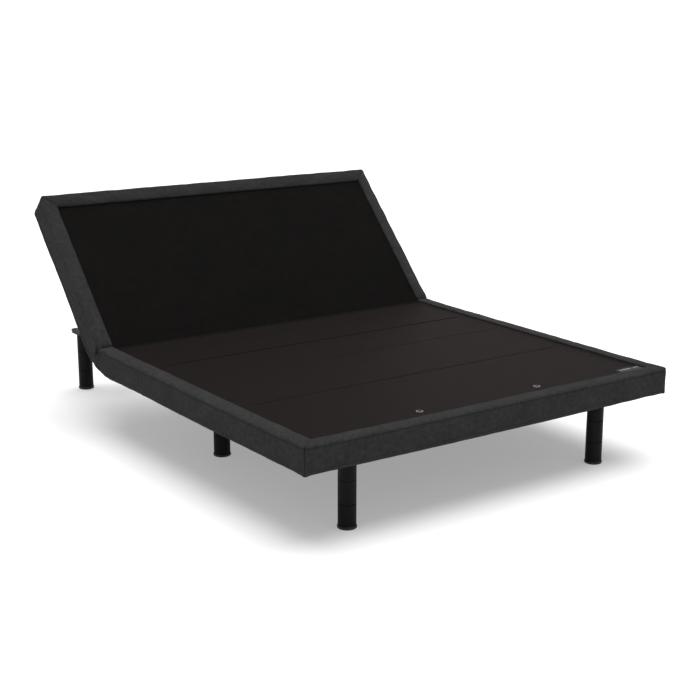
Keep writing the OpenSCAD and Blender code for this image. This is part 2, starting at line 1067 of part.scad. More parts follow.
// Fork brackets below the two middle cross tubes
module mount_fork(x, y, y_far) {
    ends = [min(y, y_far), max(y, y_far)];
    for (s = [-1, 1])
        difference() {
            union() {
                slab([x + s * 15 - 3, x + s * 15 + 3], [y - 14, y + 14], [z_rod, z_tube]);
                slab([x + s * 15 - 3, x + s * 15 + 3], ends, [z_tube - 12, z_tube]);
                rod_x([x + s * 15 - 3, x + s * 15 + 3], y, z_rod, 14);
            }
            rod_x([x + s * 15 - 4, x + s * 15 + 4], y, z_rod, mount_pin_r);
        }
}

module actuator_mounts() {
    color("#1c1c1d") {
        mount_fork(-x_actuator, y_head_mount, y_seat_tube[1] - 5);
        mount_fork(x_actuator, y_thigh_mount, y_drive_tube[0] + 5);
    }
}

// Pins fixed to the base frame: one through each actuator mount, and one welded
// into the outer wall of each side tube for its calf link.
module frame_pivot_pins() {
    color("#9a9c9f") {
        for (p = [[-x_actuator, y_head_mount], [x_actuator, y_thigh_mount]])
            rod_x([p[0] - 22, p[0] + 22], p[1], z_rod, mount_pin_r);
        both_sides()
            rod_x([side_tube_x - tube_wall, x_link[1] + 2], y_thigh, z_lift, link_pin_r);
    }
}

// Electrics below the seat board
module control_box() {
    color("#232324")
        difference() {
            slab([230, 390], [y_thigh + 95, y_thigh + 215], [z_board - 48, z_board]);
            for (x = [245 : 45 : 335])
                slab([x, x + 25], [y_thigh + 90, y_thigh + 107], [z_board - 34, z_board - 16]);
        }
}

// The mains inlet is a plain socket in the end of the case
module power_supply() {
    color("#232324")
        difference() {
            slab([-400, -270], [y_thigh + 95, y_thigh + 255], [z_board - 50, z_board]);
            slab([-400 - 1, -400 + 14], [y_thigh + 160, y_thigh + 184], [z_board - 34, z_board - 20]);
        }
}

// Links that keep the calf section level as the thigh section rises
module calf_links() {
    link_w = 20;
    color("#8d8f92")
        both_sides()
            difference() {
                union() {
                    slab(x_link, [y_knee, y_thigh], [z_lift - link_w / 2, z_lift + link_w / 2]);
                    for (y = [y_knee, y_thigh])
                        rod_x(x_link, y, z_lift, link_w / 2);
                }
                x = [x_link[0] - 1, x_link[1] + 1];
                rod_x(x, y_thigh, z_lift, link_pin_r + run_fit);
                rod_x(x, y_knee, z_lift, link_pin_r + link_open_gap);
            }
}

frame_side_tube_left();
frame_side_tube_right();
frame_cross_tubes();
leg_plates();
leg_foot_left();
leg_foot_right();
leg_middle_pair();
leg_head_left();
leg_head_right();
leg_studs();
leg_glides();
headboard_bracket_left();
headboard_bracket_right();
frame_bolts();
rest_bumpers();
seat_board();
seat_subframe();
seat_rails();
seat_borders();
seat_hinge_lugs();
fold_hinge_pins();
lift_tube_bushes();
actuator_mounts();
frame_pivot_pins();
head_actuator_housing();
head_actuator_tube();
thigh_actuator_housing();
thigh_actuator_tube();
control_box();
power_supply();
head_board();
head_subframe();
head_rails();
head_side_borders();
head_end_border();
head_hinge_lugs();
head_roller_pads();
head_lift_tube();
head_lift_rollers();
head_actuator_rod();
thigh_board_upper();
thigh_board_lower();
thigh_subframe();
thigh_rails();
thigh_borders();
thigh_hinge_lugs();
knee_hinge_pins();
thigh_roller_pads();
thigh_lift_tube();
thigh_lift_rollers();
thigh_actuator_rod();
calf_board();
calf_subframe();
calf_rails();
calf_side_borders();
calf_foot_border();
calf_hinge_lugs();
calf_link_lugs();
retainer_sockets();
calf_links();
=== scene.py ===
"""The looks of an adjustable bed base: padded borders, deck covers, seams, materials, studio and camera.

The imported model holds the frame, boards, hinges, drives and legs. This script covers its borders and
boards with fabric, closes the fabric over every fold, and gives each surface its material.
"""
import json
import math

import bmesh
import bpy
import numpy as np
from mathutils import Matrix, Vector
from mathutils.bvhtree import BVHTree


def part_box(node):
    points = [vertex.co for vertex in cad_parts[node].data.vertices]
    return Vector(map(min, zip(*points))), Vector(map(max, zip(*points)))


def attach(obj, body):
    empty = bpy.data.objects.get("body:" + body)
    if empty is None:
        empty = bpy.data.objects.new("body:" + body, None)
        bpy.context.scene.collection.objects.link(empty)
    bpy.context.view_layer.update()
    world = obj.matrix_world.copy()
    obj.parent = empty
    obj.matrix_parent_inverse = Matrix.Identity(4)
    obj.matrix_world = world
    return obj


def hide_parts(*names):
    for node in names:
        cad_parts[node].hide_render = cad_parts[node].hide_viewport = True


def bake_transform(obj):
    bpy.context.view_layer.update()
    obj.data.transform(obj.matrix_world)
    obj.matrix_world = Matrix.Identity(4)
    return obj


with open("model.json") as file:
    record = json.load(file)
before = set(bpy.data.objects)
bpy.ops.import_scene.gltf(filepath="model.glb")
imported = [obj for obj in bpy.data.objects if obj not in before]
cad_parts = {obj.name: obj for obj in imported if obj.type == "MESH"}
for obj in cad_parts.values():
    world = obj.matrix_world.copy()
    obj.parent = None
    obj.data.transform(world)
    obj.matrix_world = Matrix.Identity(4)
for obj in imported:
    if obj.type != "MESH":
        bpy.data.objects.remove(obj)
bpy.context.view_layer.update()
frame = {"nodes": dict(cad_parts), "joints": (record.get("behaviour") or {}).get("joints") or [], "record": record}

MM = 0.001

# ---- Places, all read from the frame. "Flat" places are those of the head section laid flat ----
joints = {j["name"]: j for j in frame["joints"]}
HEAD_FOLD = Vector(joints["head_hinge"]["pos_m"])
THIGH_FOLD = Vector(joints["thigh_hinge"]["pos_m"])
KNEE_FOLD = Vector(joints["calf_hinge"]["pos_m"])
HEAD_ANGLE = math.radians(-joints["head_hinge"]["range_deg"][0])


def turn_head(points, angle=HEAD_ANGLE):
    """Points turned by angle about the head fold, as an array."""
    p = np.array(points, float)
    y, z = p[..., 1] - HEAD_FOLD.y, p[..., 2] - HEAD_FOLD.z
    c, s = np.cos(angle), np.sin(angle)
    p[..., 1] = HEAD_FOLD.y + y * c - z * s
    p[..., 2] = HEAD_FOLD.z + y * s + z * c
    return p


def node_points(node):
    """A CAD node's vertices at rest."""
    return np.array([v.co for v in frame["nodes"][node].data.vertices], float)


foot_low, foot_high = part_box("calf_foot_border")
seat_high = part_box("seat_board")[1]
calf_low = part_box("calf_board")[0]
flat_head = turn_head(node_points("head_end_border"), -HEAD_ANGLE)
flat_head_board = turn_head(node_points("head_board"), -HEAD_ANGLE)

X_OUT = foot_high.x
X_DECK = seat_high.x
Y_FOOT = foot_low.y
HEAD_PAD = 15 * MM
Y_END = float(flat_head[:, 1].max()) + HEAD_PAD
Z_LOW = foot_low.z
Z_TOP = foot_high.z
Z_DECK = seat_high.z
Z_PIN = HEAD_FOLD.z
SIDE_W = X_OUT - X_DECK
END_W = calf_low.y - Y_FOOT
HEAD_END_W = END_W + HEAD_PAD
Y_JOINT = (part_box("thigh_board_lower")[1].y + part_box("thigh_board_upper")[0].y) / 2
sockets = node_points("retainer_sockets")
SOCKET_Y = float(sockets[:, 1].mean())
SOCKETS = [float(sockets[sockets[:, 0] < 0, 0].mean()), float(sockets[sockets[:, 0] > 0, 0].mean())]


# ---- Small helpers ----
def ripples(points, wavelength, seed):
    """Smooth waves of mixed direction, about -1.5 to 1.5, the same on each run."""
    count = 8
    rng = np.random.default_rng(seed)
    total = np.zeros(len(points))
    for _ in range(count):
        way = rng.normal(size=3)
        way /= np.linalg.norm(way)
        length = wavelength * rng.uniform(0.7, 1.6)
        total += np.sin(points @ way * 2 * math.pi / length + rng.uniform(0, 2 * math.pi))
    return total / math.sqrt(count)


def curve_through(x, xs, ys):
    """A smooth curve through the points (xs, ys), at x."""
    xs, ys = np.array(xs, float), np.array(ys, float)
    slopes = np.gradient(ys, xs)
    x = np.clip(x, xs[0], xs[-1])
    i = np.clip(np.searchsorted(xs, x) - 1, 0, len(xs) - 2)
    h = xs[i + 1] - xs[i]
    t = (x - xs[i]) / h
    start = (2 * t**3 - 3 * t**2 + 1) * ys[i] + (t**3 - 2 * t**2 + t) * h * slopes[i]
    end = (3 * t**2 - 2 * t**3) * ys[i + 1] + (t**3 - t**2) * h * slopes[i + 1]
    return start + end


def smooth_step(x, low, high):
    t = np.clip((np.asarray(x, float) - low) / (high - low), 0, 1)
    return t * t * (3 - 2 * t)


def bump_at(x, centre, width):
    return np.exp(-(((np.asarray(x, float) - centre) / width) ** 2))


def run_along(points):
    """How far along a line of points each of them is."""
    return np.concatenate([[0], np.cumsum(np.linalg.norm(np.diff(points, axis=0), axis=1))])


def xyz(x, y, z):
    """Points from three coordinates, each an array or a number."""
    return np.stack(np.broadcast_arrays(x, y, z), -1)


def spaced(start, end, step, fine=(), fine_step=2 * MM, reach=8 * MM):
    """Values from start to end about step apart, and fine_step apart within reach of the fine places."""
    values = [start]
    while values[-1] < end - 1e-6:
        near = any(abs(values[-1] + fine_step / 2 - f) < reach for f in fine)
        jump = fine_step if near else step
        ahead = [f - reach for f in fine if values[-1] + 1e-6 < f - reach < values[-1] + jump]
        values.append(min([values[-1] + jump, end] + ahead))
    if len(values) > 2 and values[-1] - values[-2] < fine_step / 2:
        values.pop(-2)
    return np.array(values)


def mark(mesh, name, values):
    """Stores one number per vertex."""
    if name not in mesh.attributes:
        mesh.attributes.new(name, "FLOAT", "POINT")
    mesh.attributes[name].data.foreach_set("value", np.asarray(values, float))


def marked(obj, name):
    values = np.zeros(len(obj.data.vertices))
    obj.data.attributes[name].data.foreach_get("value", values)
    return values


def paint_shade(obj, amounts):
    """Paints shade on points, by amounts, where they aren't marked more strongly already."""
    mark(obj.data, "seam", np.maximum(marked(obj, "seam"), amounts))


def add_object(name, data):
    obj = bpy.data.objects.new(name, data)
    bpy.context.scene.collection.objects.link(obj)
    return obj


def skin(name, rings, along, across, closed=True):
    """A mesh over rings of points, with UVs in metres: along has one per ring, and across one per point."""
    m, n = rings.shape[:2]
    steps = n if closed else n - 1
    i, j = np.meshgrid(np.arange(m - 1), np.arange(steps), indexing="ij")
    k = (j + 1) % n
    quads = np.stack([i * n + j, i * n + k, (i + 1) * n + k, (i + 1) * n + j], -1).reshape(-1, 4)
    u = np.stack([along[i], along[i], along[i + 1], along[i + 1]], -1).reshape(-1, 4)
    v = np.stack([across[j], across[j + 1], across[j + 1], across[j]], -1).reshape(-1, 4)
    mesh = bpy.data.meshes.new(name)
    mesh.from_pydata(rings.reshape(-1, 3).tolist(), [], quads.tolist())
    layer = mesh.uv_layers.new(name="weave")
    layer.data.foreach_set("uv", np.stack([u, v], -1).ravel())
    mark(mesh, "across", np.tile(across[:n], m))
    return add_object(name, mesh)


def edit(obj, action):
    """Runs action(bm) on the object's mesh."""
    bm = bmesh.new()
    bm.from_mesh(obj.data)
    action(bm)
    bm.to_mesh(obj.data)
    bm.free()
    obj.data.update()


def align_faces(obj):
    """Turns all faces the same way out."""
    edit(obj, lambda bm: bmesh.ops.recalc_face_normals(bm, faces=bm.faces))


def points_of(obj):
    co = np.zeros(len(obj.data.vertices) * 3)
    obj.data.vertices.foreach_get("co", co)
    return co.reshape(-1, 3)


def set_points(obj, points):
    obj.data.vertices.foreach_set("co", np.asarray(points, float).ravel())
    obj.data.update()


def normals_of(obj):
    no = np.zeros(len(obj.data.vertices) * 3)
    obj.data.vertex_normals.foreach_get("vector", no)
    return no.reshape(-1, 3)


def push(obj, amount):
    """Moves each point along its normal by amount(points)."""
    p = points_of(obj)
    set_points(obj, p + normals_of(obj) * amount(p)[:, None])


def smooth(obj):
    obj.data.shade_smooth()
    return obj


def subdivide(obj):
    """Applies one level of a subdivision surface."""
    modifier = obj.modifiers.new("smooth", "SUBSURF")
    modifier.levels = modifier.render_levels = 1
    graph = bpy.context.evaluated_depsgraph_get()
    final = bpy.data.meshes.new_from_object(obj.evaluated_get(graph))
    obj.modifiers.clear()
    old, obj.data = obj.data, final
    final.name = old.name
    bpy.data.meshes.remove(old)
    return obj


SWELL_CAP = 3.2 * MM
SWELL_PRESSURE = 4.0
SWELL_SLACK = 0.004
SWELL_FRAMES = 20


def inflate(obj, held):
    """Swells a cover by cloth simulation. Points where held(points) is true stay in place, and no point
    moves further than SWELL_CAP."""
    rest = points_of(obj)
    pins = obj.vertex_groups.new(name="held")
    pins.add(np.flatnonzero(held(rest)).tolist(), 1.0, "REPLACE")
    cloth = obj.modifiers.new("swell", "CLOTH")
    settings = cloth.settings
    settings.quality = 4
    settings.mass = 0.3
    settings.tension_stiffness = settings.compression_stiffness = 15
    settings.shear_stiffness = 8
    settings.bending_stiffness = 0.4
    settings.shrink_min = -SWELL_SLACK
    settings.use_pressure = True
    settings.uniform_pressure_force = SWELL_PRESSURE
    settings.effector_weights.gravity = 0
    settings.vertex_group_mass = pins.name
    cloth.collision_settings.use_collision = False
    cloth.point_cache.frame_start, cloth.point_cache.frame_end = 1, SWELL_FRAMES
    for number in range(1, SWELL_FRAMES + 1):
        bpy.context.scene.frame_set(number)
    graph = bpy.context.evaluated_depsgraph_get()
    swollen = points_of(obj.evaluated_get(graph))
    obj.modifiers.remove(cloth)
    obj.vertex_groups.remove(pins)
    bpy.context.scene.frame_set(1)
    move = swollen - rest
    size = np.linalg.norm(move, axis=1)[:, None]
    set_points(obj, rest + move * SWELL_CAP * np.tanh(size / SWELL_CAP) / np.maximum(size, 1e-9))


# ---- Materials. Each is built from noise, weave or grain nodes; UVs of fabric are in metres ----
def new_node(tree, kind, inputs=None, **settings):
    """Adds a node; inputs holds sockets to link from, or values."""
    made = tree.nodes.new(kind)
    for key, value in settings.items():
        setattr(made, key, value)
    for key, value in (inputs or {}).items():
        if isinstance(value, bpy.types.NodeSocket):
            tree.links.new(value, made.inputs[key])
        else:
            made.inputs[key].default_value = value
    return made


def set_inputs(node, **values):
    """Sets a node's inputs. An underscore stands for a space in an input's name."""
    for name, value in values.items():
        node.inputs[name.replace("_", " ")].default_value = value


def blank(name):
    """A new material and its tree and main shader."""
    material = bpy.data.materials.new(name)
    material.use_nodes = True
    tree = material.node_tree
    return material, tree, tree.nodes["Principled BSDF"]


def object_place(tree):
    return new_node(tree, "ShaderNodeTexCoord").outputs["Object"]


def math_node(tree, operation, a, b=0.0, clamp=False):
    made = new_node(tree, "ShaderNodeMath", {0: a, 1: b}, operation=operation, use_clamp=clamp)
    return made.outputs[0]


def scaled(tree, vector, x, y, z=1.0):
    made = new_node(tree, "ShaderNodeVectorMath", {0: vector, 1: (x, y, z)}, operation="MULTIPLY")
    return made.outputs[0]


def noise(tree, vector, scale, detail, roughness):
    inputs = {"Vector": vector, "Scale": scale, "Detail": detail, "Roughness": roughness}
    return new_node(tree, "ShaderNodeTexNoise", inputs).outputs["Fac"]


def mixed(tree, factor, a, b, kind="FLOAT"):
    """A mix of two numbers, colours (kind RGBA) or sockets."""
    inputs = {"Factor": factor, "A": a, "B": b}
    return new_node(tree, "ShaderNodeMix", inputs, data_type=kind).outputs["Result"]


def weighed(tree, *parts):
    """The sum of (socket, weight) pairs, each socket times its weight."""
    terms = [math_node(tree, "MULTIPLY", socket, weight) for socket, weight in parts]
    total = terms[0]
    for term in terms[1:]:
        total = math_node(tree, "ADD", total, term)
    return total


def ramp(tree, factor, stops):
    """A colour ramp; stops are (place, colour)."""
    made = new_node(tree, "ShaderNodeValToRGB", {"Fac": factor})
    elements = made.color_ramp.elements
    while len(elements) < len(stops):
        elements.new(0.5)
    for element, (place, colour) in zip(elements, stops):
        element.position = place
        element.color = (*colour, 1)
    return made.outputs["Color"]


def add_bump(tree, shader, height, distance, strength=1.0, normal=None):
    inputs = {"Height": height, "Distance": distance, "Strength": strength}
    if normal is not None:
        inputs["Normal"] = normal
    made = new_node(tree, "ShaderNodeBump", inputs)
    tree.links.new(made.outputs["Normal"], shader.inputs["Normal"])


def link(tree, socket, shader, name):
    tree.links.new(socket, shader.inputs[name])


def woven(name, thread, colours, fleck, mottle, depth, roughness, specular, sheen=0.0, glint=(1, 1, 1, 1)):
    """Plain-woven cloth. thread is one thread's width, colours run from the darkest to the lightest, and
    glint is the tint of its reflections."""
    material, tree, shader = blank(name)
    uv = new_node(tree, "ShaderNodeUVMap", uv_map="weave").outputs["UV"]
    on_threads = scaled(tree, uv, 1 / thread, 1 / thread)
    split = new_node(tree, "ShaderNodeSeparateXYZ", {0: on_threads})
    warp, weft = [
        math_node(tree, "ABSOLUTE", math_node(tree, "SINE", math_node(tree, "MULTIPLY", s, math.pi)))
        for s in (split.outputs["X"], split.outputs["Y"])
    ]
    half_up = {0: on_threads, 1: (0, 0, 0.5)}
    shifted = new_node(tree, "ShaderNodeVectorMath", half_up, operation="ADD").outputs[0]
    over = new_node(
        tree, "ShaderNodeTexChecker",
        {"Vector": shifted, "Color1": (1, 1, 1, 1), "Color2": (0, 0, 0, 1), "Scale": 1.0},
    ).outputs["Fac"]
    height = mixed(tree, over, weft, warp)
    slub_u = noise(tree, scaled(tree, uv, 1 / fleck, 8 / fleck), 1.0, 3.0, 0.6)
    slub_v = noise(tree, scaled(tree, uv, 8 / fleck, 1 / fleck), 1.0, 3.0, 0.6)
    slub = mixed(tree, over, slub_u, slub_v)
    patches = noise(tree, uv, 1 / mottle, 3.0, 0.55)
    cloud = noise(tree, uv, 0.16 / mottle, 2.0, 0.5)
    tone = weighed(tree, (slub, 0.45), (patches, 0.35), (cloud, 0.2))
    places = np.linspace(0.34, 0.66, len(colours))
    colour = ramp(tree, tone, list(zip(places.tolist(), colours)))
    # The 'seam' attribute carries painted shade: where it is set, the colour is darkened towards black and the
    # reflection weakened, for the shade in creases, grooves, pleat valleys and slits.
    seam = new_node(tree, "ShaderNodeAttribute", attribute_name="seam").outputs["Fac"]
    painted_shade = math_node(tree, "MULTIPLY", seam, 0.8)
    link(tree, mixed(tree, painted_shade, colour, (0.002, 0.002, 0.002, 1), "RGBA"), shader, "Base Color")
    link(tree, mixed(tree, height, roughness + 0.06, roughness - 0.06), shader, "Roughness")
    surface = math_node(tree, "ADD", height, math_node(tree, "MULTIPLY", slub, 0.8))
    add_bump(tree, shader, surface, depth)
    link(tree, mixed(tree, painted_shade, specular, 0.0), shader, "Specular IOR Level")
    set_inputs(shader, Specular_Tint=glint, Sheen_Weight=sheen, Sheen_Roughness=0.45)
    return material


def edge_wear(tree, radius):
    """(how close a point is to an edge, from 0 to 1, and a normal that rounds the edge)."""
    bevel = new_node(tree, "ShaderNodeBevel", {"Radius": radius}, samples=4)
    normal = new_node(tree, "ShaderNodeNewGeometry").outputs["Normal"]
    same = new_node(
        tree, "ShaderNodeVectorMath", {0: bevel.outputs[0], 1: normal}, operation="DOT_PRODUCT"
    ).outputs["Value"]
    away = math_node(tree, "SUBTRACT", 1.0, same)
    return math_node(tree, "MULTIPLY", away, 6.0, clamp=True), bevel.outputs[0]


def solid(name, colours, roughness, grain, depth, stretch=(1, 1, 1), metal=0.0, specular=0.5,
          wear=None, edge=0.6 * MM):
    """Paint, plastic or metal. grain is the size of its texture, stretch draws it out, and wear is the colour
    that shows where edges are rubbed."""
    material, tree, shader = blank(name)
    place = object_place(tree)
    drawn = scaled(tree, place, *stretch)
    fine = noise(tree, drawn, 1 / grain, 4.0, 0.6)
    broad = noise(tree, place, 9.0, 4.0, 0.6)
    tone = weighed(tree, (fine, 0.5), (broad, 0.5))
    places = np.linspace(0.36, 0.64, len(colours)).tolist()
    colour = ramp(tree, tone, list(zip(places, colours)))
    near_edge, rounded = edge_wear(tree, edge)
    if wear:
        rubbed = noise(tree, place, 60.0, 5.0, 0.7)
        rubbed = new_node(
            tree, "ShaderNodeMapRange", {"Value": rubbed, "From Min": 0.52, "From Max": 0.68}
        ).outputs["Result"]
        shown = math_node(tree, "MULTIPLY", near_edge, rubbed)
        colour = mixed(tree, shown, colour, (*wear, 1), "RGBA")
    link(tree, colour, shader, "Base Color")
    smudge = noise(tree, place, 22.0, 4.0, 0.65)
    link(tree, mixed(tree, smudge, roughness - 0.1, roughness + 0.12), shader, "Roughness")
    add_bump(tree, shader, fine, depth, 0.6, rounded)
    set_inputs(shader, Metallic=metal, Specular_IOR_Level=specular)
    return material


def wood(name, colours, roughness):
    """Sawn softwood or plywood with grain along Y."""
    material, tree, shader = blank(name)
    place = object_place(tree)
    drawn = scaled(tree, place, 26.0, 1.6, 26.0)
    rings = new_node(
        tree, "ShaderNodeTexWave",
        {"Vector": drawn, "Scale": 0.9, "Distortion": 5.0, "Detail": 3.0, "Detail Scale": 1.4},
        wave_type="BANDS", bands_direction="X",
    ).outputs["Fac"]
    pores = noise(tree, scaled(tree, place, 900.0, 40.0, 900.0), 1.0, 2.0, 0.6)
    tone = weighed(tree, (rings, 0.6), (pores, 0.4))
    link(tree, ramp(tree, tone, list(zip((0.15, 0.6, 0.9), colours))), shader, "Base Color")
    link(tree, mixed(tree, pores, roughness + 0.08, roughness - 0.05), shader, "Roughness")
    add_bump(tree, shader, tone, 0.3 * MM)
    set_inputs(shader, Specular_IOR_Level=0.3)
    return material


def felt(name, colours):
    """Non-woven backing with short random fibres."""
    material, tree, shader = blank(name)
    place = object_place(tree)
    one = noise(tree, scaled(tree, place, 220.0, 900.0, 600.0), 1.0, 4.0, 0.7)
    two = noise(tree, scaled(tree, place, 900.0, 220.0, 600.0), 1.0, 4.0, 0.7)
    fibre = math_node(tree, "MAXIMUM", one, two)
    broad = noise(tree, place, 14.0, 3.0, 0.6)
    tone = weighed(tree, (fibre, 0.6), (broad, 0.4))
    link(tree, ramp(tree, tone, list(zip((0.4, 0.68), colours))), shader, "Base Color")
    link(tree, mixed(tree, fibre, 0.95, 0.8), shader, "Roughness")
    add_bump(tree, shader, fibre, 0.25 * MM)
    set_inputs(shader, Specular_IOR_Level=0.15)
    return material


BORDER_CLOTH = woven(
    "border_cloth", thread=1.3 * MM,
    colours=[(0.018, 0.0175, 0.0178), (0.031, 0.0302, 0.0306), (0.046, 0.0447, 0.0453)],
    fleck=9 * MM, mottle=17 * MM, depth=0.5 * MM, roughness=0.92, specular=0.08,
)
DECK_CLOTH = woven(
    "deck_cloth", thread=0.9 * MM,
    colours=[(0.0027, 0.0018, 0.0017), (0.0039, 0.0026, 0.0025), (0.0051, 0.0034, 0.0033)],
    fleck=7 * MM, mottle=30 * MM, depth=0.25 * MM, roughness=0.6, specular=0.091,
    glint=(1.0, 0.7, 0.69, 1.0),
)
# Painted shade: a duller copy of the deck cloth, so that the raised head section and its fold look darker under
# the light than the flat deck.
SHADED_HEAD_DECK_CLOTH = woven(
    "shaded_head_deck_cloth", thread=0.9 * MM,
    colours=[(0.0029, 0.0026, 0.0024), (0.0044, 0.0039, 0.0036), (0.0059, 0.0053, 0.0049)],
    fleck=7 * MM, mottle=30 * MM, depth=0.25 * MM, roughness=0.9, specular=0.05,
)
HEM_CLOTH = woven(
    "hem_tape", thread=1.0 * MM,
    colours=[(0.026, 0.026, 0.0265), (0.04, 0.04, 0.041), (0.055, 0.055, 0.056)],
    fleck=6 * MM, mottle=20 * MM, depth=0.4 * MM, roughness=0.84, specular=0.2, sheen=0.05,
)
TAG_CLOTH = woven(
    "tag_satin", thread=0.35 * MM,
    colours=[(0.13, 0.13, 0.135), (0.18, 0.18, 0.185), (0.24, 0.24, 0.245)],
    fleck=3 * MM, mottle=9 * MM, depth=0.08 * MM, roughness=0.5, specular=0.4,
)
THREAD = solid(
    "sewing_thread", [(0.022, 0.022, 0.0225), (0.04, 0.04, 0.041)], roughness=0.6,
    grain=0.4 * MM, depth=0.1 * MM, stretch=(1, 1, 3), specular=0.3, edge=0.1 * MM,
)
BLACK = [(0.004, 0.004, 0.0041), (0.007, 0.007, 0.0072), (0.011, 0.011, 0.0113)]
LEG_BLACK = [(0.0028, 0.0028, 0.0028), (0.0052, 0.0052, 0.0052), (0.008, 0.008, 0.0081)]
STEEL = (0.14, 0.14, 0.145)
SLOT_MATERIALS = {
    "frame_paint": solid("frame_paint", BLACK, 0.5, 1.1 * MM, 0.06 * MM, specular=0.2, wear=STEEL),
    "leg_finish": solid("leg_satin", LEG_BLACK, 0.5, 0.8 * MM, 0.03 * MM, specular=0.09,
                        wear=(0.12, 0.12, 0.125), edge=0.8 * MM),
    "glide_plastic": solid("glide_plastic", [(0.006, 0.006, 0.006), (0.012, 0.012, 0.012)], 0.6,
                           0.5 * MM, 0.05 * MM, wear=(0.05, 0.05, 0.05)),
    "zinc_steel": solid("zinc_steel", [(0.38, 0.39, 0.4), (0.5, 0.51, 0.53), (0.6, 0.6, 0.6)], 0.36,
                        3 * MM, 0.05 * MM, metal=1.0, wear=(0.7, 0.7, 0.7)),
    "bumper_rubber": solid("bumper_rubber", [(0.007, 0.007, 0.007), (0.014, 0.014, 0.014)], 0.8,
                           0.7 * MM, 0.1 * MM, specular=0.3, wear=(0.03, 0.03, 0.03)),
    "covered_board": felt("board_backing", [(0.006, 0.0055, 0.0052), (0.018, 0.0165, 0.016)]),
    "rail_wood": wood("rail_pine", [(0.32, 0.19, 0.09), (0.5, 0.33, 0.17), (0.62, 0.44, 0.25)], 0.62),
    "border_fabric": BORDER_CLOTH,
    "nylon": solid("nylon", [(0.6, 0.58, 0.53), (0.72, 0.7, 0.65)], 0.45, 1.5 * MM, 0.04 * MM,
                   wear=(0.5, 0.48, 0.44)),
    "black_plastic": solid("moulded_plastic", [(0.009, 0.009, 0.0095), (0.015, 0.015, 0.0155)], 0.55,
                           0.6 * MM, 0.08 * MM, wear=(0.04, 0.04, 0.04)),
    "actuator_aluminium": solid("extruded_aluminium", [(0.45, 0.46, 0.48), (0.6, 0.61, 0.63)], 0.34,
                                0.5 * MM, 0.04 * MM, stretch=(1, 0.02, 1), metal=1.0,
                                wear=(0.75, 0.75, 0.76)),
    "rod_steel": solid("polished_rod", [(0.55, 0.56, 0.57), (0.68, 0.69, 0.7)], 0.16,
                       0.7 * MM, 0.01 * MM, stretch=(1, 0.1, 1), metal=1.0, wear=(0.8, 0.8, 0.8)),
    "socket_metal": solid("socket_metal", [(0.62, 0.62, 0.61), (0.78, 0.78, 0.77)], 0.28,
                          0.6 * MM, 0.02 * MM, metal=1.0, wear=(0.9, 0.9, 0.9), edge=0.4 * MM),
}


def paint(obj, material):
    obj.data.materials.clear()
    obj.data.materials.append(material)
    return obj


def paint_frame():
    """Gives every carried-over CAD node the material of its slot."""
    slots = {s["node"]: s["material_slot"] for s in frame["record"]["subparts"]}
    for name, obj in frame["nodes"].items():
        for held in obj.material_slots:
            held.link = "OBJECT"
            held.material = SLOT_MATERIALS[slots[name]]


# ---- Padded borders: a rounded section swept along each rail ----
TOP_OUT_R = 11 * MM
TOP_IN_R = 6 * MM
LOW_R = 2.6 * MM
TIP_R = 1.6 * MM
ARC_STEPS = 4
HEM = 15 * MM
TALL_LEVELS = (0.066, 0.134, 0.149, 0.163, 0.238, 0.337, 0.435, 0.533, 0.632, 0.73, 0.828, 0.92)
WIDE_STEPS = 6
STEP = 8.5 * MM
FINE_STEP = 2.6 * MM
FOOT_CORNER_R = 9 * MM
HEAD_CORNER_R = 30 * MM
SHRINK = 0.3 * MM
CREASE_W = 2.4 * MM
CREASE_DEPTH = 0.8 * MM
MITRE_FILL, MITRE_FILL_W = 1.2 * MM, 9 * MM
FIRM_EDGE = 1.5 * MM
FIRM_SEAM = 3 * MM
FIRM_FOLD = 2 * MM
FIRM_PIN = 8 * MM
UNEVEN, UNEVEN_WAVE = 0.35 * MM, 60 * MM


def section(w, z, radii):
    """Points round a rounded rectangle, w from the inner to the outer side. It starts on the inner side."""
    limit = 0.49 * min(w[1] - w[0], z[1] - z[0])
    top_in, top_out, low_out, low_in = [max(min(r, limit), 1e-5) for r in radii]
    corners = [
        (w[0] + top_in, z[1] - top_in, top_in, 180),
        (w[1] - top_out, z[1] - top_out, top_out, 90),
        (w[1] - low_out, z[0] + low_out, low_out, 0),
        (w[0] + low_in, z[0] + low_in, low_in, -90),
    ]
    arcs = []
    for cw, cz, r, start in corners:
        a = np.radians(start - np.linspace(0, 90, ARC_STEPS + 1))
        arcs.append(np.stack([cw + r * np.cos(a), cz + r * np.sin(a)], -1))
    wide = np.linspace(0, 1, WIDE_STEPS + 1)[1:-1]
    down, rise = 1 - np.array(TALL_LEVELS[::-1]), np.array(TALL_LEVELS)
    loop = []
    for k, t in enumerate((wide, down, wide, rise)):
        end, start = arcs[k][-1], arcs[(k + 1) % 4][0]
        loop += [arcs[k], end + (start - end) * t[:, None]]
    return np.concatenate(loop)


BASE_RADII = (TOP_IN_R, TOP_OUT_R, LOW_R, LOW_R)
BASE_SECTION = section((0, SIDE_W), (0, Z_TOP - Z_LOW), BASE_RADII)


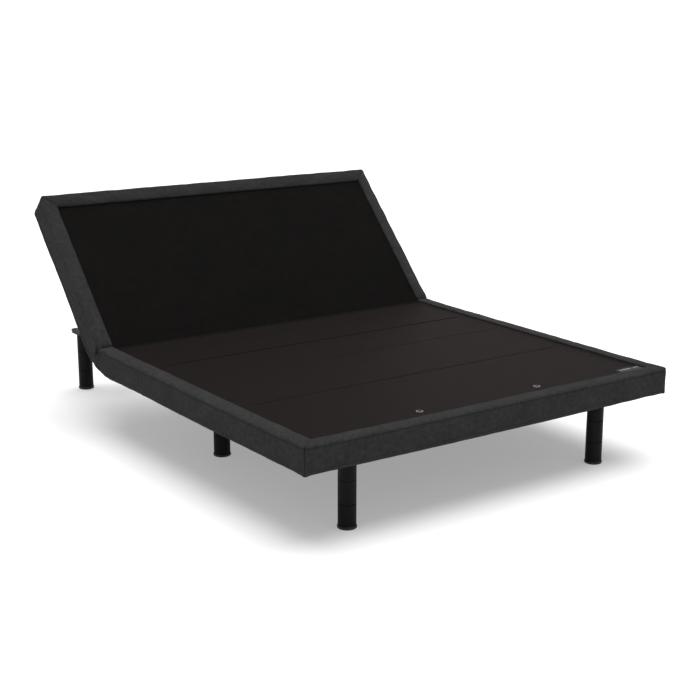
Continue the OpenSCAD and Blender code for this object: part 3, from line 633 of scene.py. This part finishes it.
def border(name, places, profile, place, distances, round_ends=(TIP_R, TIP_R)):
    """A closed padded border. At each of places, profile gives (w, z, radii) of the section and place maps
    (place, w, z) to points. distances are how far each place is from the two ends, for their rounding."""
    rings = []
    for index, at in enumerate(places):
        w, z, radii = profile(at)
        inset = 0.0
        for d, r in zip(distances(at), round_ends):
            if d < r:
                inset = max(inset, r - math.sqrt(max(r * r - (r - d) ** 2, 0)))
        steps = [inset]
        if index in (0, len(places) - 1):
            half = 0.4985 * min(w[1] - w[0], z[1] - z[0])
            steps = list(inset + (half - inset) * np.linspace(0, 1, 4))
            steps = steps[::-1] if index == 0 else steps
        for s in steps:
            loop = section((w[0] + s, w[1] - s), (z[0] + s, z[1] - s), [max(r - s, 0.05 * MM) for r in radii])
            rings.append(place(at, loop[:, 0], loop[:, 1]))
    rings = np.array(rings)
    around = run_along(np.vstack([BASE_SECTION, BASE_SECTION[:1]]))
    obj = skin(name, rings, run_along(rings.mean(1)), around)
    edit(obj, lambda bm: (
        bmesh.ops.remove_doubles(bm, verts=bm.verts, dist=0.4 * MM),
        bmesh.ops.recalc_face_normals(bm, faces=bm.faces),
    ))
    return smooth(paint(obj, BORDER_CLOTH))


def round_plan(points, y_corner, way, r):
    """Rounds the two outer corners at y_corner, seen from above; way points out of the bed along Y."""
    p = points.copy()
    cx, cy = X_OUT - r, y_corner - way * r
    dx, dy = np.abs(p[..., 0]) - cx, (p[..., 1] - cy) * way
    far = np.hypot(dx, dy)
    outside = (dx > 0) & (dy > 0) & (far > r)
    pull = np.where(outside, r / np.maximum(far, 1e-9), 1.0)
    p[..., 0] = np.where(outside, np.sign(p[..., 0]) * (cx + dx * pull), p[..., 0])
    p[..., 1] = np.where(outside, cy + way * dy * pull, p[..., 1])
    return p


def hem(obj, raised=0.4 * MM, line=0.2, crease=1.0, tape=None):
    """Raises the turned-up hem along the lower edge, and creases the outer side below its rounded top. line is how
    dark the painted shade along the hem's upper edge is, crease how strong the crease and its painted shade are,
    and tape a cloth over the hem."""
    run = run_along(BASE_SECTION)
    w, z = BASE_SECTION.T
    outer = w > SIDE_W - 0.1 * MM
    start = run[outer & (z < HEM)].min()
    below_top = run[outer & (z > Z_TOP - Z_LOW - TOP_OUT_R - 0.1 * MM)].max()
    across = marked(obj, "across")
    band = smooth_step(across, start - 1.6 * MM, start) * (across < start + HEM + SIDE_W)
    crease = crease * bump_at(across, below_top, CREASE_W)
    p = points_of(obj)
    set_points(obj, p + normals_of(obj) * (raised * band - CREASE_DEPTH * crease)[:, None])
    # Painted shade: a dark line above the raised hem, and a darker crease below the rounded top.
    mark(obj.data, "seam", np.maximum(line * bump_at(across, start - 1.0 * MM, 1.3 * MM), 0.45 * crease))
    if tape:
        obj.data.materials.append(tape)
        for face in obj.data.polygons:
            if all(start <= across[v] < start + HEM + 4 * MM for v in face.vertices):
                face.material_index = 1


def fill_mitre(obj, from_seam):
    """Fills the dip that a held mitre seam leaves in a swollen cover; from_seam is each point's distance."""
    push(obj, lambda _: MITRE_FILL * bump_at(from_seam, 0, MITRE_FILL_W))


def mitre(w, end_w=END_W):
    """How far in from the end the mitre between a side and an end border is, w from the inner edge."""
    return end_w * (1 - w / SIDE_W)


SEAT_END = HEAD_FOLD.y + 3 * MM
SEAT_END_R = 7 * MM
SEAT_LIFT = ([-3 * MM, 27 * MM, 62 * MM, 120 * MM, 300 * MM], [11 * MM, 2 * MM, -4 * MM, -3 * MM, 0])
SAG = 3.5 * MM
PLATE_GAP = 5 * MM
# Painted shade laid over the whole head end cover.
HEAD_END_PAINTED_SHADE = 0.2
CREASE_AT_FOLD, CREASE_AT_FOLD_W = 1.3 * MM, 5 * MM
FAN_CREASE, FAN_CREASE_WAVE, FAN_CREASE_REACH = 0.35 * MM, 21 * MM, 38 * MM
BUNCH, BUNCH_REACH = 6 * MM, 22 * MM
PLEAT, PLEAT_WAVE, PLEAT_REACH = 3.6 * MM, 15 * MM, 24 * MM
# Painted shade in the valleys of the pleats at the head fold.
PLEAT_PAINTED_SHADE = 1.2


def on_face(p, inner, outer):
    """From 0 on a border's inner part to 1 on its outer face; inner and outer are where the rise starts and
    ends, in from the deck's edge and from the outer face."""
    return smooth_step(np.abs(p[:, 0]), X_DECK + inner, X_OUT - outer)


def pad(obj, seed, held):
    """Makes a border uneven and swells it; the points where held(points) is true stay."""
    push(obj, lambda p: UNEVEN * ripples(p, UNEVEN_WAVE, seed))
    inflate(obj, held)


def side_cover(side):
    """The long border on one side, from the foot corner to the head fold; side is -1 on the left."""
    length = SEAT_END - Y_FOOT

    def profile(y):
        lift = float(curve_through(HEAD_FOLD.y - y, *SEAT_LIFT))
        before = SEAT_END - y
        drop = SEAT_END_R - math.sqrt(max(SEAT_END_R**2 - max(SEAT_END_R - before, 0) ** 2, 0))
        sag = SAG * math.sin(math.pi * (y - Y_FOOT) / length)
        return (0, SIDE_W - SHRINK), (Z_LOW + lift - sag, Z_TOP - SHRINK - drop), BASE_RADII

    def place(y, w, z):
        share = (SEAT_END - y) / length
        return round_plan(xyz(side * (X_DECK + w), y + mitre(w) * share, z), Y_FOOT, -1, FOOT_CORNER_R)

    folds = (THIGH_FOLD.y, KNEE_FOLD.y)
    fine = (Y_FOOT, *folds, SEAT_END - 44 * MM, SEAT_END - 22 * MM, SEAT_END)
    near_ends = spaced(Y_FOOT, SEAT_END, STEP, fine=fine, fine_step=FINE_STEP, reach=14 * MM)
    obj = border(f"side_cover_{side}", near_ends, profile, place,
                 lambda y: (y - Y_FOOT, SEAT_END - y), (TIP_R, 3.5 * MM))

    def held(p):
        inner = np.abs(p[:, 0]) < X_DECK + FIRM_EDGE
        seam = p[:, 1] - Y_FOOT - mitre(np.abs(p[:, 0]) - X_DECK)
        return inner | (seam < FIRM_SEAM) | (p[:, 1] > HEAD_FOLD.y - FIRM_FOLD)

    pad(obj, 11 + side, held)

    def creases(p):
        fold = sum(bump_at(p[:, 1], f, CREASE_AT_FOLD_W) for f in folds)
        fan = sum(bump_at(p[:, 1], f, FAN_CREASE_REACH) for f in folds)
        swing = np.sin((p[:, 1] + 0.35 * (p[:, 2] - Z_PIN)) * 2 * math.pi / FAN_CREASE_WAVE)
        return on_face(p, 20 * MM, 10 * MM) * (FAN_CREASE * fan * swing - CREASE_AT_FOLD * fold)

    push(obj, creases)

    def bunching(p):
        """How far the fabric stands out at the head fold, and how deep each point is in a pleat."""
        before = HEAD_FOLD.y - p[:, 1]
        high = smooth_step(p[:, 2], Z_LOW + 30 * MM, Z_LOW + 75 * MM)
        swell = BUNCH * np.exp(-np.clip(before, 0, None) / BUNCH_REACH)
        pleat = np.cos((before - 0.25 * (p[:, 2] - Z_PIN)) * 2 * math.pi / PLEAT_WAVE)
        pleat *= np.exp(-np.abs(before) / PLEAT_REACH)
        top = smooth_step(p[:, 2], Z_TOP - 16 * MM, Z_TOP - 2 * MM)
        reach = high * on_face(p, 25 * MM, 8 * MM) * (1 - 0.6 * top)
        return reach * (swell + PLEAT * pleat), reach * np.clip(-pleat, 0, None)

    p = points_of(obj)
    out, deep = bunching(p)
    p[:, 0] += side * out
    set_points(obj, p)
    hem(obj)
    # Painted shade, darker the deeper a point lies in a pleat's valley.
    paint_shade(obj, PLEAT_PAINTED_SHADE * deep)
    return subdivide(obj)


def end_low(x, way):
    """The lower edge of an end cover at x: it sags at the foot, and clears the leg plates at the head."""
    if way > 0:
        return Z_LOW + PLATE_GAP
    return Z_LOW - SAG * np.cos(math.pi * x / (2 * X_OUT))


def end_cover(name, y_edge, end_w, way, corner_r):
    """The border across an end, flat; way is -1 at the foot and +1 at the head."""
    y_inner = y_edge - way * end_w

    def profile(s):
        return (0, end_w - SHRINK), (float(end_low(s, way)), Z_TOP - SHRINK), BASE_RADII

    def place(s, w, z):
        half = X_DECK + SIDE_W * w / end_w
        return round_plan(xyz(s * half / X_OUT, y_inner + way * w, z), y_edge, way, corner_r)

    def from_seam(p):
        return X_DECK + SIDE_W * (p[:, 1] - y_inner) * way / end_w - np.abs(p[:, 0])

    def held(p):
        return ((p[:, 1] - y_inner) * way < FIRM_EDGE) | (from_seam(p) < FIRM_SEAM)

    places = spaced(-X_OUT, X_OUT, STEP, fine=(-X_OUT, X_OUT), fine_step=FINE_STEP, reach=corner_r + 5 * MM)
    obj = border(name, places, profile, place, lambda s: (s + X_OUT, X_OUT - s))
    pad(obj, 17 + way, held)
    if way > 0:
        fill_mitre(obj, from_seam(points_of(obj)))
    hem(obj, crease=float(way < 0))
    # Painted shade: the head end cover darkened all over.
    if way > 0:
        paint_shade(obj, HEAD_END_PAINTED_SHADE)
    return subdivide(obj)


# The fabric below the head fold, from the seat border's end to the head border. Its lower edge is a reach
# from the pin at each angle, and then a depth below the pin along the head section.
FAN_REACH = ([-14, 0, 15, 30, 46.2], [71 * MM, 70 * MM, 69 * MM, 71 * MM, 75 * MM])
HEAD_DEPTH = (
    [0, 8 * MM, 49 * MM, 90 * MM, 135 * MM, 170 * MM, 230 * MM, 380 * MM, 600 * MM, 690 * MM],
    [75 * MM, 80 * MM, 93 * MM, 96 * MM, 93 * MM, 91 * MM, 88 * MM, 85 * MM, 84 * MM, 77 * MM],
)
SLIT_Y, SLIT_Z = 21 * MM, -2 * MM
SLIT_W, SLIT_H = 5 * MM, 20 * MM
SLIT_DEPTH = 6 * MM
SLIT_LEAN = math.radians(20)
PIN_GAP = 3 * MM
FRONT_ROUND = 16 * MM
FRONT_START = 6 * MM
FAN_TUCK = 3 * MM
GUSSET_PLEAT, GUSSET_PLEATS = 1.2 * MM, 16
# Painted shade in the slit's recess.
SLIT_PAINTED_SHADE = 1.2


def head_side_cover(side):
    """The head section's side border with the gusset that closes its fold, raised."""
    length = Y_END - HEAD_FOLD.y
    fan = np.radians(np.linspace(FAN_REACH[0][0], math.degrees(HEAD_ANGLE), 15))
    straight = spaced(0, length, STEP, fine=(0, length), fine_step=FINE_STEP, reach=HEAD_CORNER_R + 4 * MM)
    places = [(angle, 0.0) for angle in fan[:-1]] + [(HEAD_ANGLE, u) for u in straight]
    top = Z_TOP - Z_PIN - SHRINK

    def profile(at):
        angle, u = at
        if angle < HEAD_ANGLE - 1e-9:
            reach = float(curve_through(math.degrees(angle), *FAN_REACH))
            tuck = FAN_TUCK * (1 - smooth_step(math.degrees(angle), FAN_REACH[0][0], 9))
            return (0, SIDE_W - SHRINK - tuck), (-reach, -PIN_GAP), BASE_RADII
        depth = float(curve_through(u, *HEAD_DEPTH))
        ahead = u - FRONT_START
        if ahead <= 0:
            high = -PIN_GAP + (u / FRONT_START) * PIN_GAP
        else:
            short = min(1 - ahead / FRONT_ROUND, 1)
            high = top * math.sqrt(1 - max(short, 0) ** 2)
        return (0, SIDE_W - SHRINK), (-depth, high), BASE_RADII

    def place(at, w, v):
        angle, u = at
        share = u / length
        flat = xyz(side * (X_DECK + w), HEAD_FOLD.y + u - mitre(w, HEAD_END_W) * share, Z_PIN + v)
        return turn_head(round_plan(flat, Y_END, 1, HEAD_CORNER_R), angle)

    def distances(at):
        angle, u = at
        return 1.0 if angle > fan[0] else 0.0, length - u

    def from_seam(p):
        return Y_END - turn_head(p, -HEAD_ANGLE)[:, 1] - mitre(np.abs(p[:, 0]) - X_DECK, HEAD_END_W)

    def held(p):
        near_pin = np.hypot(p[:, 1] - HEAD_FOLD.y, p[:, 2] - Z_PIN) < FIRM_PIN
        tucked = p[:, 1] < HEAD_FOLD.y + FIRM_FOLD
        return (np.abs(p[:, 0]) < X_DECK + FIRM_EDGE) | (from_seam(p) < FIRM_SEAM) | near_pin | tucked

    obj = border(f"head_side_cover_{side}", places, profile, place, distances, (6 * MM, TIP_R))
    pad(obj, 23 + side, held)
    p = points_of(obj)
    from_pin = np.hypot(p[:, 1] - HEAD_FOLD.y, p[:, 2] - Z_PIN)
    outer = on_face(p, 20 * MM, 12 * MM)
    angle = np.arctan2(p[:, 1] - HEAD_FOLD.y, Z_PIN - p[:, 2])
    in_fan = smooth_step(angle, 0, math.radians(12))
    in_fan *= 1 - smooth_step(angle, math.radians(60), math.radians(85))
    pleats = GUSSET_PLEAT * np.sin(angle * GUSSET_PLEATS) * smooth_step(from_pin, 10 * MM, 30 * MM)
    pleats *= 1 - smooth_step(from_pin, 48 * MM, 80 * MM)
    from_slit = p[:, 1] - HEAD_FOLD.y - SLIT_Y, p[:, 2] - Z_PIN - SLIT_Z
    lean = (math.cos(SLIT_LEAN), math.sin(SLIT_LEAN))
    slit = np.hypot((from_slit[0] * lean[0] + from_slit[1] * lean[1]) / SLIT_W,
                    (from_slit[1] * lean[0] - from_slit[0] * lean[1]) / SLIT_H)
    slit = outer * np.exp(-(slit**2))
    p[:, 0] += side * (outer * pleats * in_fan - SLIT_DEPTH * slit)
    set_points(obj, p)
    fill_mitre(obj, from_seam(p))
    hem(obj, raised=1.2 * MM, line=0.7, crease=0, tape=HEM_CLOTH)
    # Painted shade in the slit's recess.
    paint_shade(obj, SLIT_PAINTED_SHADE * slit)
    return subdivide(obj)


# ---- Stitching: short threads laid on the covers along their hems and corner seams ----
STITCH = 3.4 * MM
STITCH_GAP = 1.6 * MM
THREAD_R = 0.42 * MM
SEAM_OFFSET = 4.5 * MM
HEM_STITCH = 11 * MM


def stitches(name, cover, paths):
    """Threads on the cover's surface along each path, as one mesh."""
    surface = cover.data
    tree = BVHTree.FromPolygons([v.co for v in surface.vertices], [f.vertices for f in surface.polygons])
    sizes = np.array([0.35, 0.9, 1.0, 0.9, 0.35]) * THREAD_R
    turns = np.linspace(0, 2 * math.pi, 6, endpoint=False)
    points, faces = [], []
    for path in paths:
        path = np.asarray(path, float)
        run = run_along(path)
        for start in np.arange(STITCH_GAP, run[-1] - STITCH, STITCH + STITCH_GAP):
            ends = [[np.interp(start + d, run, path[:, k]) for k in range(3)] for d in (0, STITCH)]
            on = [tree.find_nearest(Vector(e)) for e in ends]
            a, b = on[0][0], on[1][0]
            normal = (on[0][1] + on[1][1]).normalized()
            way = (b - a).normalized()
            beside = way.cross(normal)
            base = len(points)
            for t, size in zip((0, 0.2, 0.5, 0.8, 1), sizes):
                centre = a.lerp(b, t) + normal * (0.5 * THREAD_R * (1 - (2 * t - 1) ** 2))
                points += [centre + (beside * math.cos(q) + normal * math.sin(q)) * size for q in turns]
            for ring in range(4):
                for k in range(6):
                    low, high = base + ring * 6, base + ring * 6 + 6
                    faces.append((low + k, low + (k + 1) % 6, high + (k + 1) % 6, high + k))
            faces.append([base + k for k in range(5, -1, -1)])
            faces.append([base + 24 + k for k in range(6)])
    mesh = bpy.data.meshes.new(name)
    mesh.from_pydata(points, [], faces)
    obj = add_object(name, mesh)
    align_faces(obj)
    return smooth(paint(obj, THREAD))


def side_paths(side, low_y, high_y):
    """The hem of a side cover from low_y to high_y, and its foot corner seam."""
    ys = np.linspace(low_y + 8 * MM, high_y - 2 * MM, 160)
    lifts = curve_through(HEAD_FOLD.y - ys, *SEAT_LIFT)
    sags = SAG * np.sin(math.pi * (ys - Y_FOOT) / (SEAT_END - Y_FOOT))
    zs = Z_LOW + lifts - sags + HEM_STITCH
    paths = [xyz(side * X_OUT, ys, zs)]
    if low_y == Y_FOOT:
        zs = np.linspace(Z_LOW + 5 * MM, Z_TOP - TOP_OUT_R, 30)
        upright = xyz(side * X_OUT, Y_FOOT + SEAM_OFFSET + 2 * MM, zs)
        ws = np.linspace(SIDE_W - TOP_OUT_R, 4 * MM, 20)
        top = xyz(side * (X_DECK + ws), Y_FOOT + mitre(ws) + SEAM_OFFSET, Z_TOP)
        paths.append(np.concatenate([upright, top]))
    return paths


def head_side_paths(side):
    """The hem of a raised head side cover and its corner seam."""
    us = np.linspace(0, Y_END - HEAD_FOLD.y - HEAD_CORNER_R, 160)
    vs = Z_PIN - curve_through(us, *HEAD_DEPTH) + HEM_STITCH
    low = xyz(side * X_OUT, HEAD_FOLD.y + us, vs)
    ws = np.linspace(SIDE_W - TOP_OUT_R, 4 * MM, 20)
    top_y = Y_END - mitre(ws, HEAD_END_W) - SEAM_OFFSET
    top = xyz(side * (X_DECK + ws), top_y, Z_TOP)
    return [turn_head(low), turn_head(top)]


def end_paths(y_edge, end_w, way):
    """The hem of a flat end cover, and its two corner seams."""
    xs = np.linspace(-X_OUT + HEAD_CORNER_R, X_OUT - HEAD_CORNER_R, 160)
    paths = [xyz(xs, y_edge, end_low(xs, way) + HEM_STITCH)]
    for side in (-1, 1):
        ws = np.linspace(4 * MM, end_w - TOP_OUT_R, 20)
        x = side * (X_DECK + SIDE_W * ws / end_w - SEAM_OFFSET)
        top = xyz(x, y_edge - way * (end_w - ws), Z_TOP)
        zs = np.linspace(Z_TOP - TOP_OUT_R, end_low(X_OUT, way) + 5 * MM, 30)
        upright = xyz(side * (X_OUT - SEAM_OFFSET - 2 * MM), y_edge, zs)
        paths.append(np.concatenate([top, upright]))
    return paths


def cut_at(obj, y, names):
    """Cuts a cover at y into a piece on its foot side and one on its head side, each closed."""
    made = []
    for name, way in zip(names, (1, -1)):
        piece = add_object(name, obj.data.copy())
        piece.data.name = name

        def cut(bm, way=way):
            bmesh.ops.bisect_plane(
                bm, geom=bm.verts[:] + bm.edges[:] + bm.faces[:], dist=1e-6,
                plane_co=(0, y, 0), plane_no=(0, way, 0), clear_outer=True,
            )
            rim = [e for e in bm.edges if e.is_boundary]
            caps = bmesh.ops.holes_fill(bm, edges=rim, sides=0)["faces"]
            for e in rim:
                e.smooth = False
            for f in caps:
                f.smooth = False

        edit(piece, cut)
        made.append(piece)
    bpy.data.objects.remove(obj)
    return made


def finish_border(piece, *cad_nodes):
    """Hides the named CAD nodes, for which a padded border stands in."""
    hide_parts(*cad_nodes)


def bend_at(piece):
    """Bakes the piece's placement into its mesh."""
    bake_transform(piece)


def make_borders():
    """All padded borders, each with its stitching; only the foot and head end borders are attached to their
    bodies.
    """
    for side, word in ((-1, "left"), (1, "right")):
        whole = side_cover(side)
        calf_thread = stitches(f"{word}_thread_thigh_calf", whole, side_paths(side, Y_FOOT, Y_JOINT))
        seat_thread = stitches(f"{word}_thread_seat_thigh", whole, side_paths(side, Y_JOINT, SEAT_END))
        names = (f"{word}_border_thigh_calf", f"{word}_border_seat_thigh")
        calf_piece, seat_piece = cut_at(whole, Y_JOINT, names)
        for piece in (calf_piece, calf_thread):
            bend_at(piece)
        for piece in (seat_piece, seat_thread):
            bend_at(piece)
        head_piece = head_side_cover(side)
        head_piece.name = f"{word}_border_head"
        head_thread = stitches(f"{word}_thread_head", head_piece, head_side_paths(side))
        for piece in (head_piece, head_thread):
            bend_at(piece)
        finish_border(calf_piece, "calf_side_borders", "thigh_borders")
        finish_border(seat_piece, "seat_borders", "thigh_borders")
        finish_border(head_piece, "head_side_borders")

    foot = end_cover("foot_border", Y_FOOT, END_W, -1, FOOT_CORNER_R)
    foot_thread = stitches("foot_thread", foot, end_paths(Y_FOOT, END_W, -1))
    head = end_cover("head_end_border_cover", Y_END, HEAD_END_W, 1, HEAD_CORNER_R)
    head_thread = stitches("head_end_thread", head, end_paths(Y_END, HEAD_END_W, 1))
    for piece in (foot, foot_thread):
        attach(piece, "calf_section")
    for piece in (head, head_thread):
        set_points(piece, turn_head(points_of(piece)))
        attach(piece, "head_section")
    finish_border(foot, "calf_foot_border")
    finish_border(head, "head_end_border")


# ---- Deck covers: one sheet over each run of boards, drawn into the folds between them ----
CLOTH_LIFT = 1.0 * MM
TUCK = 3 * MM
SEAM_FADE = (X_DECK - 70 * MM, X_DECK - 25 * MM)
FOLD_DEPTH = 1.7 * MM
JOINT_DEPTH = 2.2 * MM
GROOVE_W = 2.4 * MM
SOCKET_HOLE_R = 9 * MM
DECK_STEP = 12 * MM


def deck_height(x, y):
    """Height of the flat deck cover at (x, y)."""
    reach = 1 - smooth_step(np.abs(x), *SEAM_FADE)
    grooves = FOLD_DEPTH * (1.6 * bump_at(y, THIGH_FOLD.y, GROOVE_W) + bump_at(y, KNEE_FOLD.y, GROOVE_W))
    grooves = grooves + JOINT_DEPTH * bump_at(y, Y_JOINT, 0.7 * GROOVE_W)
    points = xyz(x, y, 0.0).reshape(-1, 3)
    slack = 0.22 * MM * ripples(points, 150 * MM, 5).reshape(x.shape)
    return Z_DECK + CLOTH_LIFT + slack - grooves * reach


def deck_groove_painted_shade(x, y):
    """How dark the painted shade in the deck cover's fold grooves is at (x, y), from 0 to 1."""
    reach = 1 - smooth_step(np.abs(x), *SEAM_FADE)
    strong = 1.2 * bump_at(y, THIGH_FOLD.y, 4.2 * MM) + bump_at(y, KNEE_FOLD.y, 2.3 * MM)
    return reach * np.clip(strong + 0.55 * bump_at(y, Y_JOINT, 1.3 * MM), 0, 1)


def sheet(name, ys, place, material, fine_x=()):
    """A deck cover over the lines ys; place maps arrays (x, y) to points."""
    half = X_DECK + TUCK
    xs = spaced(-half, half, DECK_STEP, fine=fine_x, fine_step=2 * MM, reach=13 * MM)
    x, y = np.meshgrid(xs, ys)
    obj = skin(name, place(x, y), ys, xs, closed=False)
    # Painted shade along the fold grooves.
    mark(obj.data, "seam", deck_groove_painted_shade(x, y).ravel())
    align_faces(obj)
    if obj.data.polygons[0].normal.z < 0:
        obj.data.flip_normals()
    return smooth(paint(obj, material))


def flat_place(x, y):
    return xyz(x, y, deck_height(x, y))


def raised_place(x, y):
    return turn_head(flat_place(x, y))


def fold_place(x, y):
    """Over the head fold: flat on the seat side of the fold and raised on its head side."""
    rise = Z_DECK + CLOTH_LIFT - Z_PIN
    corner = rise * math.tan(HEAD_ANGLE / 2)
    flat = flat_place(x, y)
    raised = raised_place(x, y)
    ahead = (y - HEAD_FOLD.y)[..., None]
    bend = flat_place(x, np.full_like(y, HEAD_FOLD.y - corner))
    return np.where(np.abs(ahead) < corner, bend, np.where(ahead < 0, flat, raised))


def open_sockets(bm):
    """Cuts the cover away under the flange of each retainer socket."""
    gone = [
        f for f in bm.faces
        if any(math.hypot(f.calc_center_median().x - x, f.calc_center_median().y - SOCKET_Y) < SOCKET_HOLE_R
               for x in SOCKETS)
    ]
    bmesh.ops.delete(bm, geom=gone, context="FACES")


def make_deck():
    """The fabric over the boards."""
    strip = 30 * MM
    fold_start = HEAD_FOLD.y - strip
    calf_start = calf_low.y - TUCK
    ys = spaced(Y_JOINT, fold_start, DECK_STEP, fine=(Y_JOINT, THIGH_FOLD.y), fine_step=MM, reach=8 * MM)
    seat = sheet("deck_cover_seat_thigh", ys, flat_place, DECK_CLOTH)
    bend_at(seat)

    ys = spaced(calf_start, Y_JOINT, DECK_STEP, fine=(Y_JOINT, KNEE_FOLD.y), fine_step=MM, reach=8 * MM)
    near_socket = spaced(SOCKET_Y - 14 * MM, SOCKET_Y + 14 * MM, 2 * MM)
    ys = np.unique(np.concatenate([ys[np.abs(ys - SOCKET_Y) > 15 * MM], near_socket]).round(6))
    calf = sheet("deck_cover_thigh_calf", ys, flat_place, DECK_CLOTH, fine_x=SOCKETS)
    edit(calf, open_sockets)
    bend_at(calf)

    near = np.array([30, 24, 18, 13, 9, 6.5, 5]) * MM
    ys = HEAD_FOLD.y + np.concatenate([-near, [0], near[::-1]])
    # The fold wears the duller copy of the deck cloth, painted shade for the raised deck.
    fold = sheet("deck_cover_head_fold", ys, fold_place, SHADED_HEAD_DECK_CLOTH)
    bend_at(fold)

    head_end = float(flat_head_board[:, 1].max()) + TUCK
    ys = spaced(HEAD_FOLD.y + strip, head_end, DECK_STEP)
    # The head section wears the duller copy of the deck cloth, painted shade for the raised deck.
    head = sheet("deck_cover_head", ys, raised_place, SHADED_HEAD_DECK_CLOTH)
    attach(head, "head_section")


# ---- Small fittings on the deck: socket liners and the plain woven tag by the foot border ----
LINER = ((5.2, -7.0), (5.2, -2.0), (5.25, 1.4), (5.5, 2.35), (6.1, 2.75),
         (7.0, 2.8), (8.0, 2.6), (8.7, 2.2), (8.9, 1.9))
TAG_X = (X_DECK - 107 * MM, X_DECK - 2 * MM)
TAG_Y = (END_W + 1 * MM, END_W + 45 * MM)
TAG_BARS = ((9, 63, 30, 36), (77, 100, 30, 36))


def make_liners():
    """A black plastic liner in each retainer socket."""
    turns = np.linspace(0, 2 * math.pi, 48, endpoint=False)
    for x, word in zip(SOCKETS, ("left", "right")):
        rings = np.array([
            [[x + r * MM * math.cos(a), SOCKET_Y + r * MM * math.sin(a), Z_DECK + h * MM] for a in turns]
            for r, h in LINER
        ])
        run = np.arange(len(LINER)) * MM
        liner = skin(f"socket_liner_{word}", rings, run, np.linspace(0, 0.05, 49))
        align_faces(liner)
        smooth(paint(liner, SLOT_MATERIALS["black_plastic"]))
        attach(liner, "calf_section")


def make_tag():
    """A dark woven tag with two light bars, sewn beside the foot border and lying on the deck."""
    xs, ys = spaced(*TAG_X, 2.5 * MM), spaced(*TAG_Y, 2 * MM) + Y_FOOT
    x, y = np.meshgrid(xs, ys)
    lift = deck_height(x, y) + 0.5 * MM + 2.2 * MM * (1 - smooth_step(y, ys[0], ys[0] + 14 * MM))
    curl = 1.2 * MM * smooth_step(y, ys[-1] - 10 * MM, ys[-1]) * (0.6 + 0.4 * np.sin(x * 90))
    tag = skin("deck_tag", xyz(x, y, lift + curl), ys, xs, closed=False)
    paint(tag, HEM_CLOTH).data.materials.append(TAG_CLOTH)
    for face in tag.data.polygons:
        across_tag, along_tag = (face.center.x - TAG_X[0]) / MM, (face.center.y - Y_FOOT - TAG_Y[0]) / MM
        for x0, x1, y0, y1 in TAG_BARS:
            if x0 < across_tag < x1 and y0 < along_tag < y1:
                face.material_index = 1
    edit(tag, lambda bm: bmesh.ops.solidify(bm, geom=bm.faces[:], thickness=0.5 * MM))
    align_faces(tag)
    smooth(tag)
    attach(tag, "calf_section")


# ---- Studio and camera ----
FLOOR_HALF = 400.0
FLOOR_GLOW = 0.32
SURROUND = 0.42
BACKDROP = 1.05
KEY_POWER = 3.9
KEY_SPREAD = 60
KEY_FROM = (0.14, 0.06, 1.3)
CAMERA_AT = (-2.8069, -4.1830, 1.5964)
CAMERA_TURN = (36.475, -14.812, 0.481)
CAMERA_LENS, CAMERA_SENSOR = 71.02, 36
CAMERA_SHIFT = (-0.0434, 0.0075)


def make_studio():
    """A pale floor that glows a little, an even surround that looks white behind the bed, and one broad soft
    lamp almost straight above."""
    across_floor = np.linspace(-FLOOR_HALF, FLOOR_HALF, 9)
    spots = np.array([[[x, y, 0.0] for x in across_floor] for y in across_floor])
    floor = skin("floor", spots, across_floor, across_floor, closed=False)
    align_faces(floor)
    material, tree, shader = blank("pale_floor")
    place = object_place(tree)
    tone = noise(tree, place, 0.5, 3.0, 0.5)
    link(tree, ramp(tree, tone, [(0.2, (0.6, 0.6, 0.6)), (0.8, (0.62, 0.62, 0.62))]), shader, "Base Color")
    link(tree, mixed(tree, tone, 0.85, 0.95), shader, "Roughness")
    set_inputs(shader, Specular_IOR_Level=0.0, Emission_Color=(1, 1, 1, 1), Emission_Strength=FLOOR_GLOW)
    paint(floor, material)

    world = bpy.data.worlds.new("studio")
    bpy.context.scene.world = world
    world.use_nodes = True
    tree = world.node_tree
    background = tree.nodes["Background"]
    background.inputs["Color"].default_value = (1, 1, 1, 1)
    seen = new_node(tree, "ShaderNodeLightPath").outputs["Is Camera Ray"]
    link(tree, mixed(tree, seen, SURROUND, BACKDROP), background, "Strength")

    light = bpy.data.lights.new("key", "SUN")
    light.energy = KEY_POWER
    light.angle = math.radians(KEY_SPREAD)
    toward = Vector(KEY_FROM).normalized()
    add_object("key", light).rotation_euler = toward.to_track_quat("Z", "Y").to_euler()


def make_camera():
    """The camera at the photograph's viewing angle."""
    yaw, pitch, roll = map(math.radians, CAMERA_TURN)
    forward = Vector((math.sin(yaw) * math.cos(pitch), math.cos(yaw) * math.cos(pitch), math.sin(pitch)))
    right = Vector((math.cos(yaw), -math.sin(yaw), 0))
    up = right.cross(forward)
    right, up = right * math.cos(roll) + up * math.sin(roll), up * math.cos(roll) - right * math.sin(roll)
    data = bpy.data.cameras.new("camera")
    data.sensor_width = CAMERA_SENSOR
    data.lens = CAMERA_LENS
    data.shift_x, data.shift_y = CAMERA_SHIFT
    data.clip_end = 3 * FLOOR_HALF
    camera = add_object("camera", data)
    turned = Matrix((right, up, -forward)).transposed().to_4x4()
    camera.matrix_world = Matrix.Translation(CAMERA_AT) @ turned
    bpy.context.scene.camera = camera


paint_frame()
make_borders()
make_deck()
make_liners()
make_tag()
make_camera()
make_studio()
bpy.context.scene.view_settings.view_transform = "Standard"
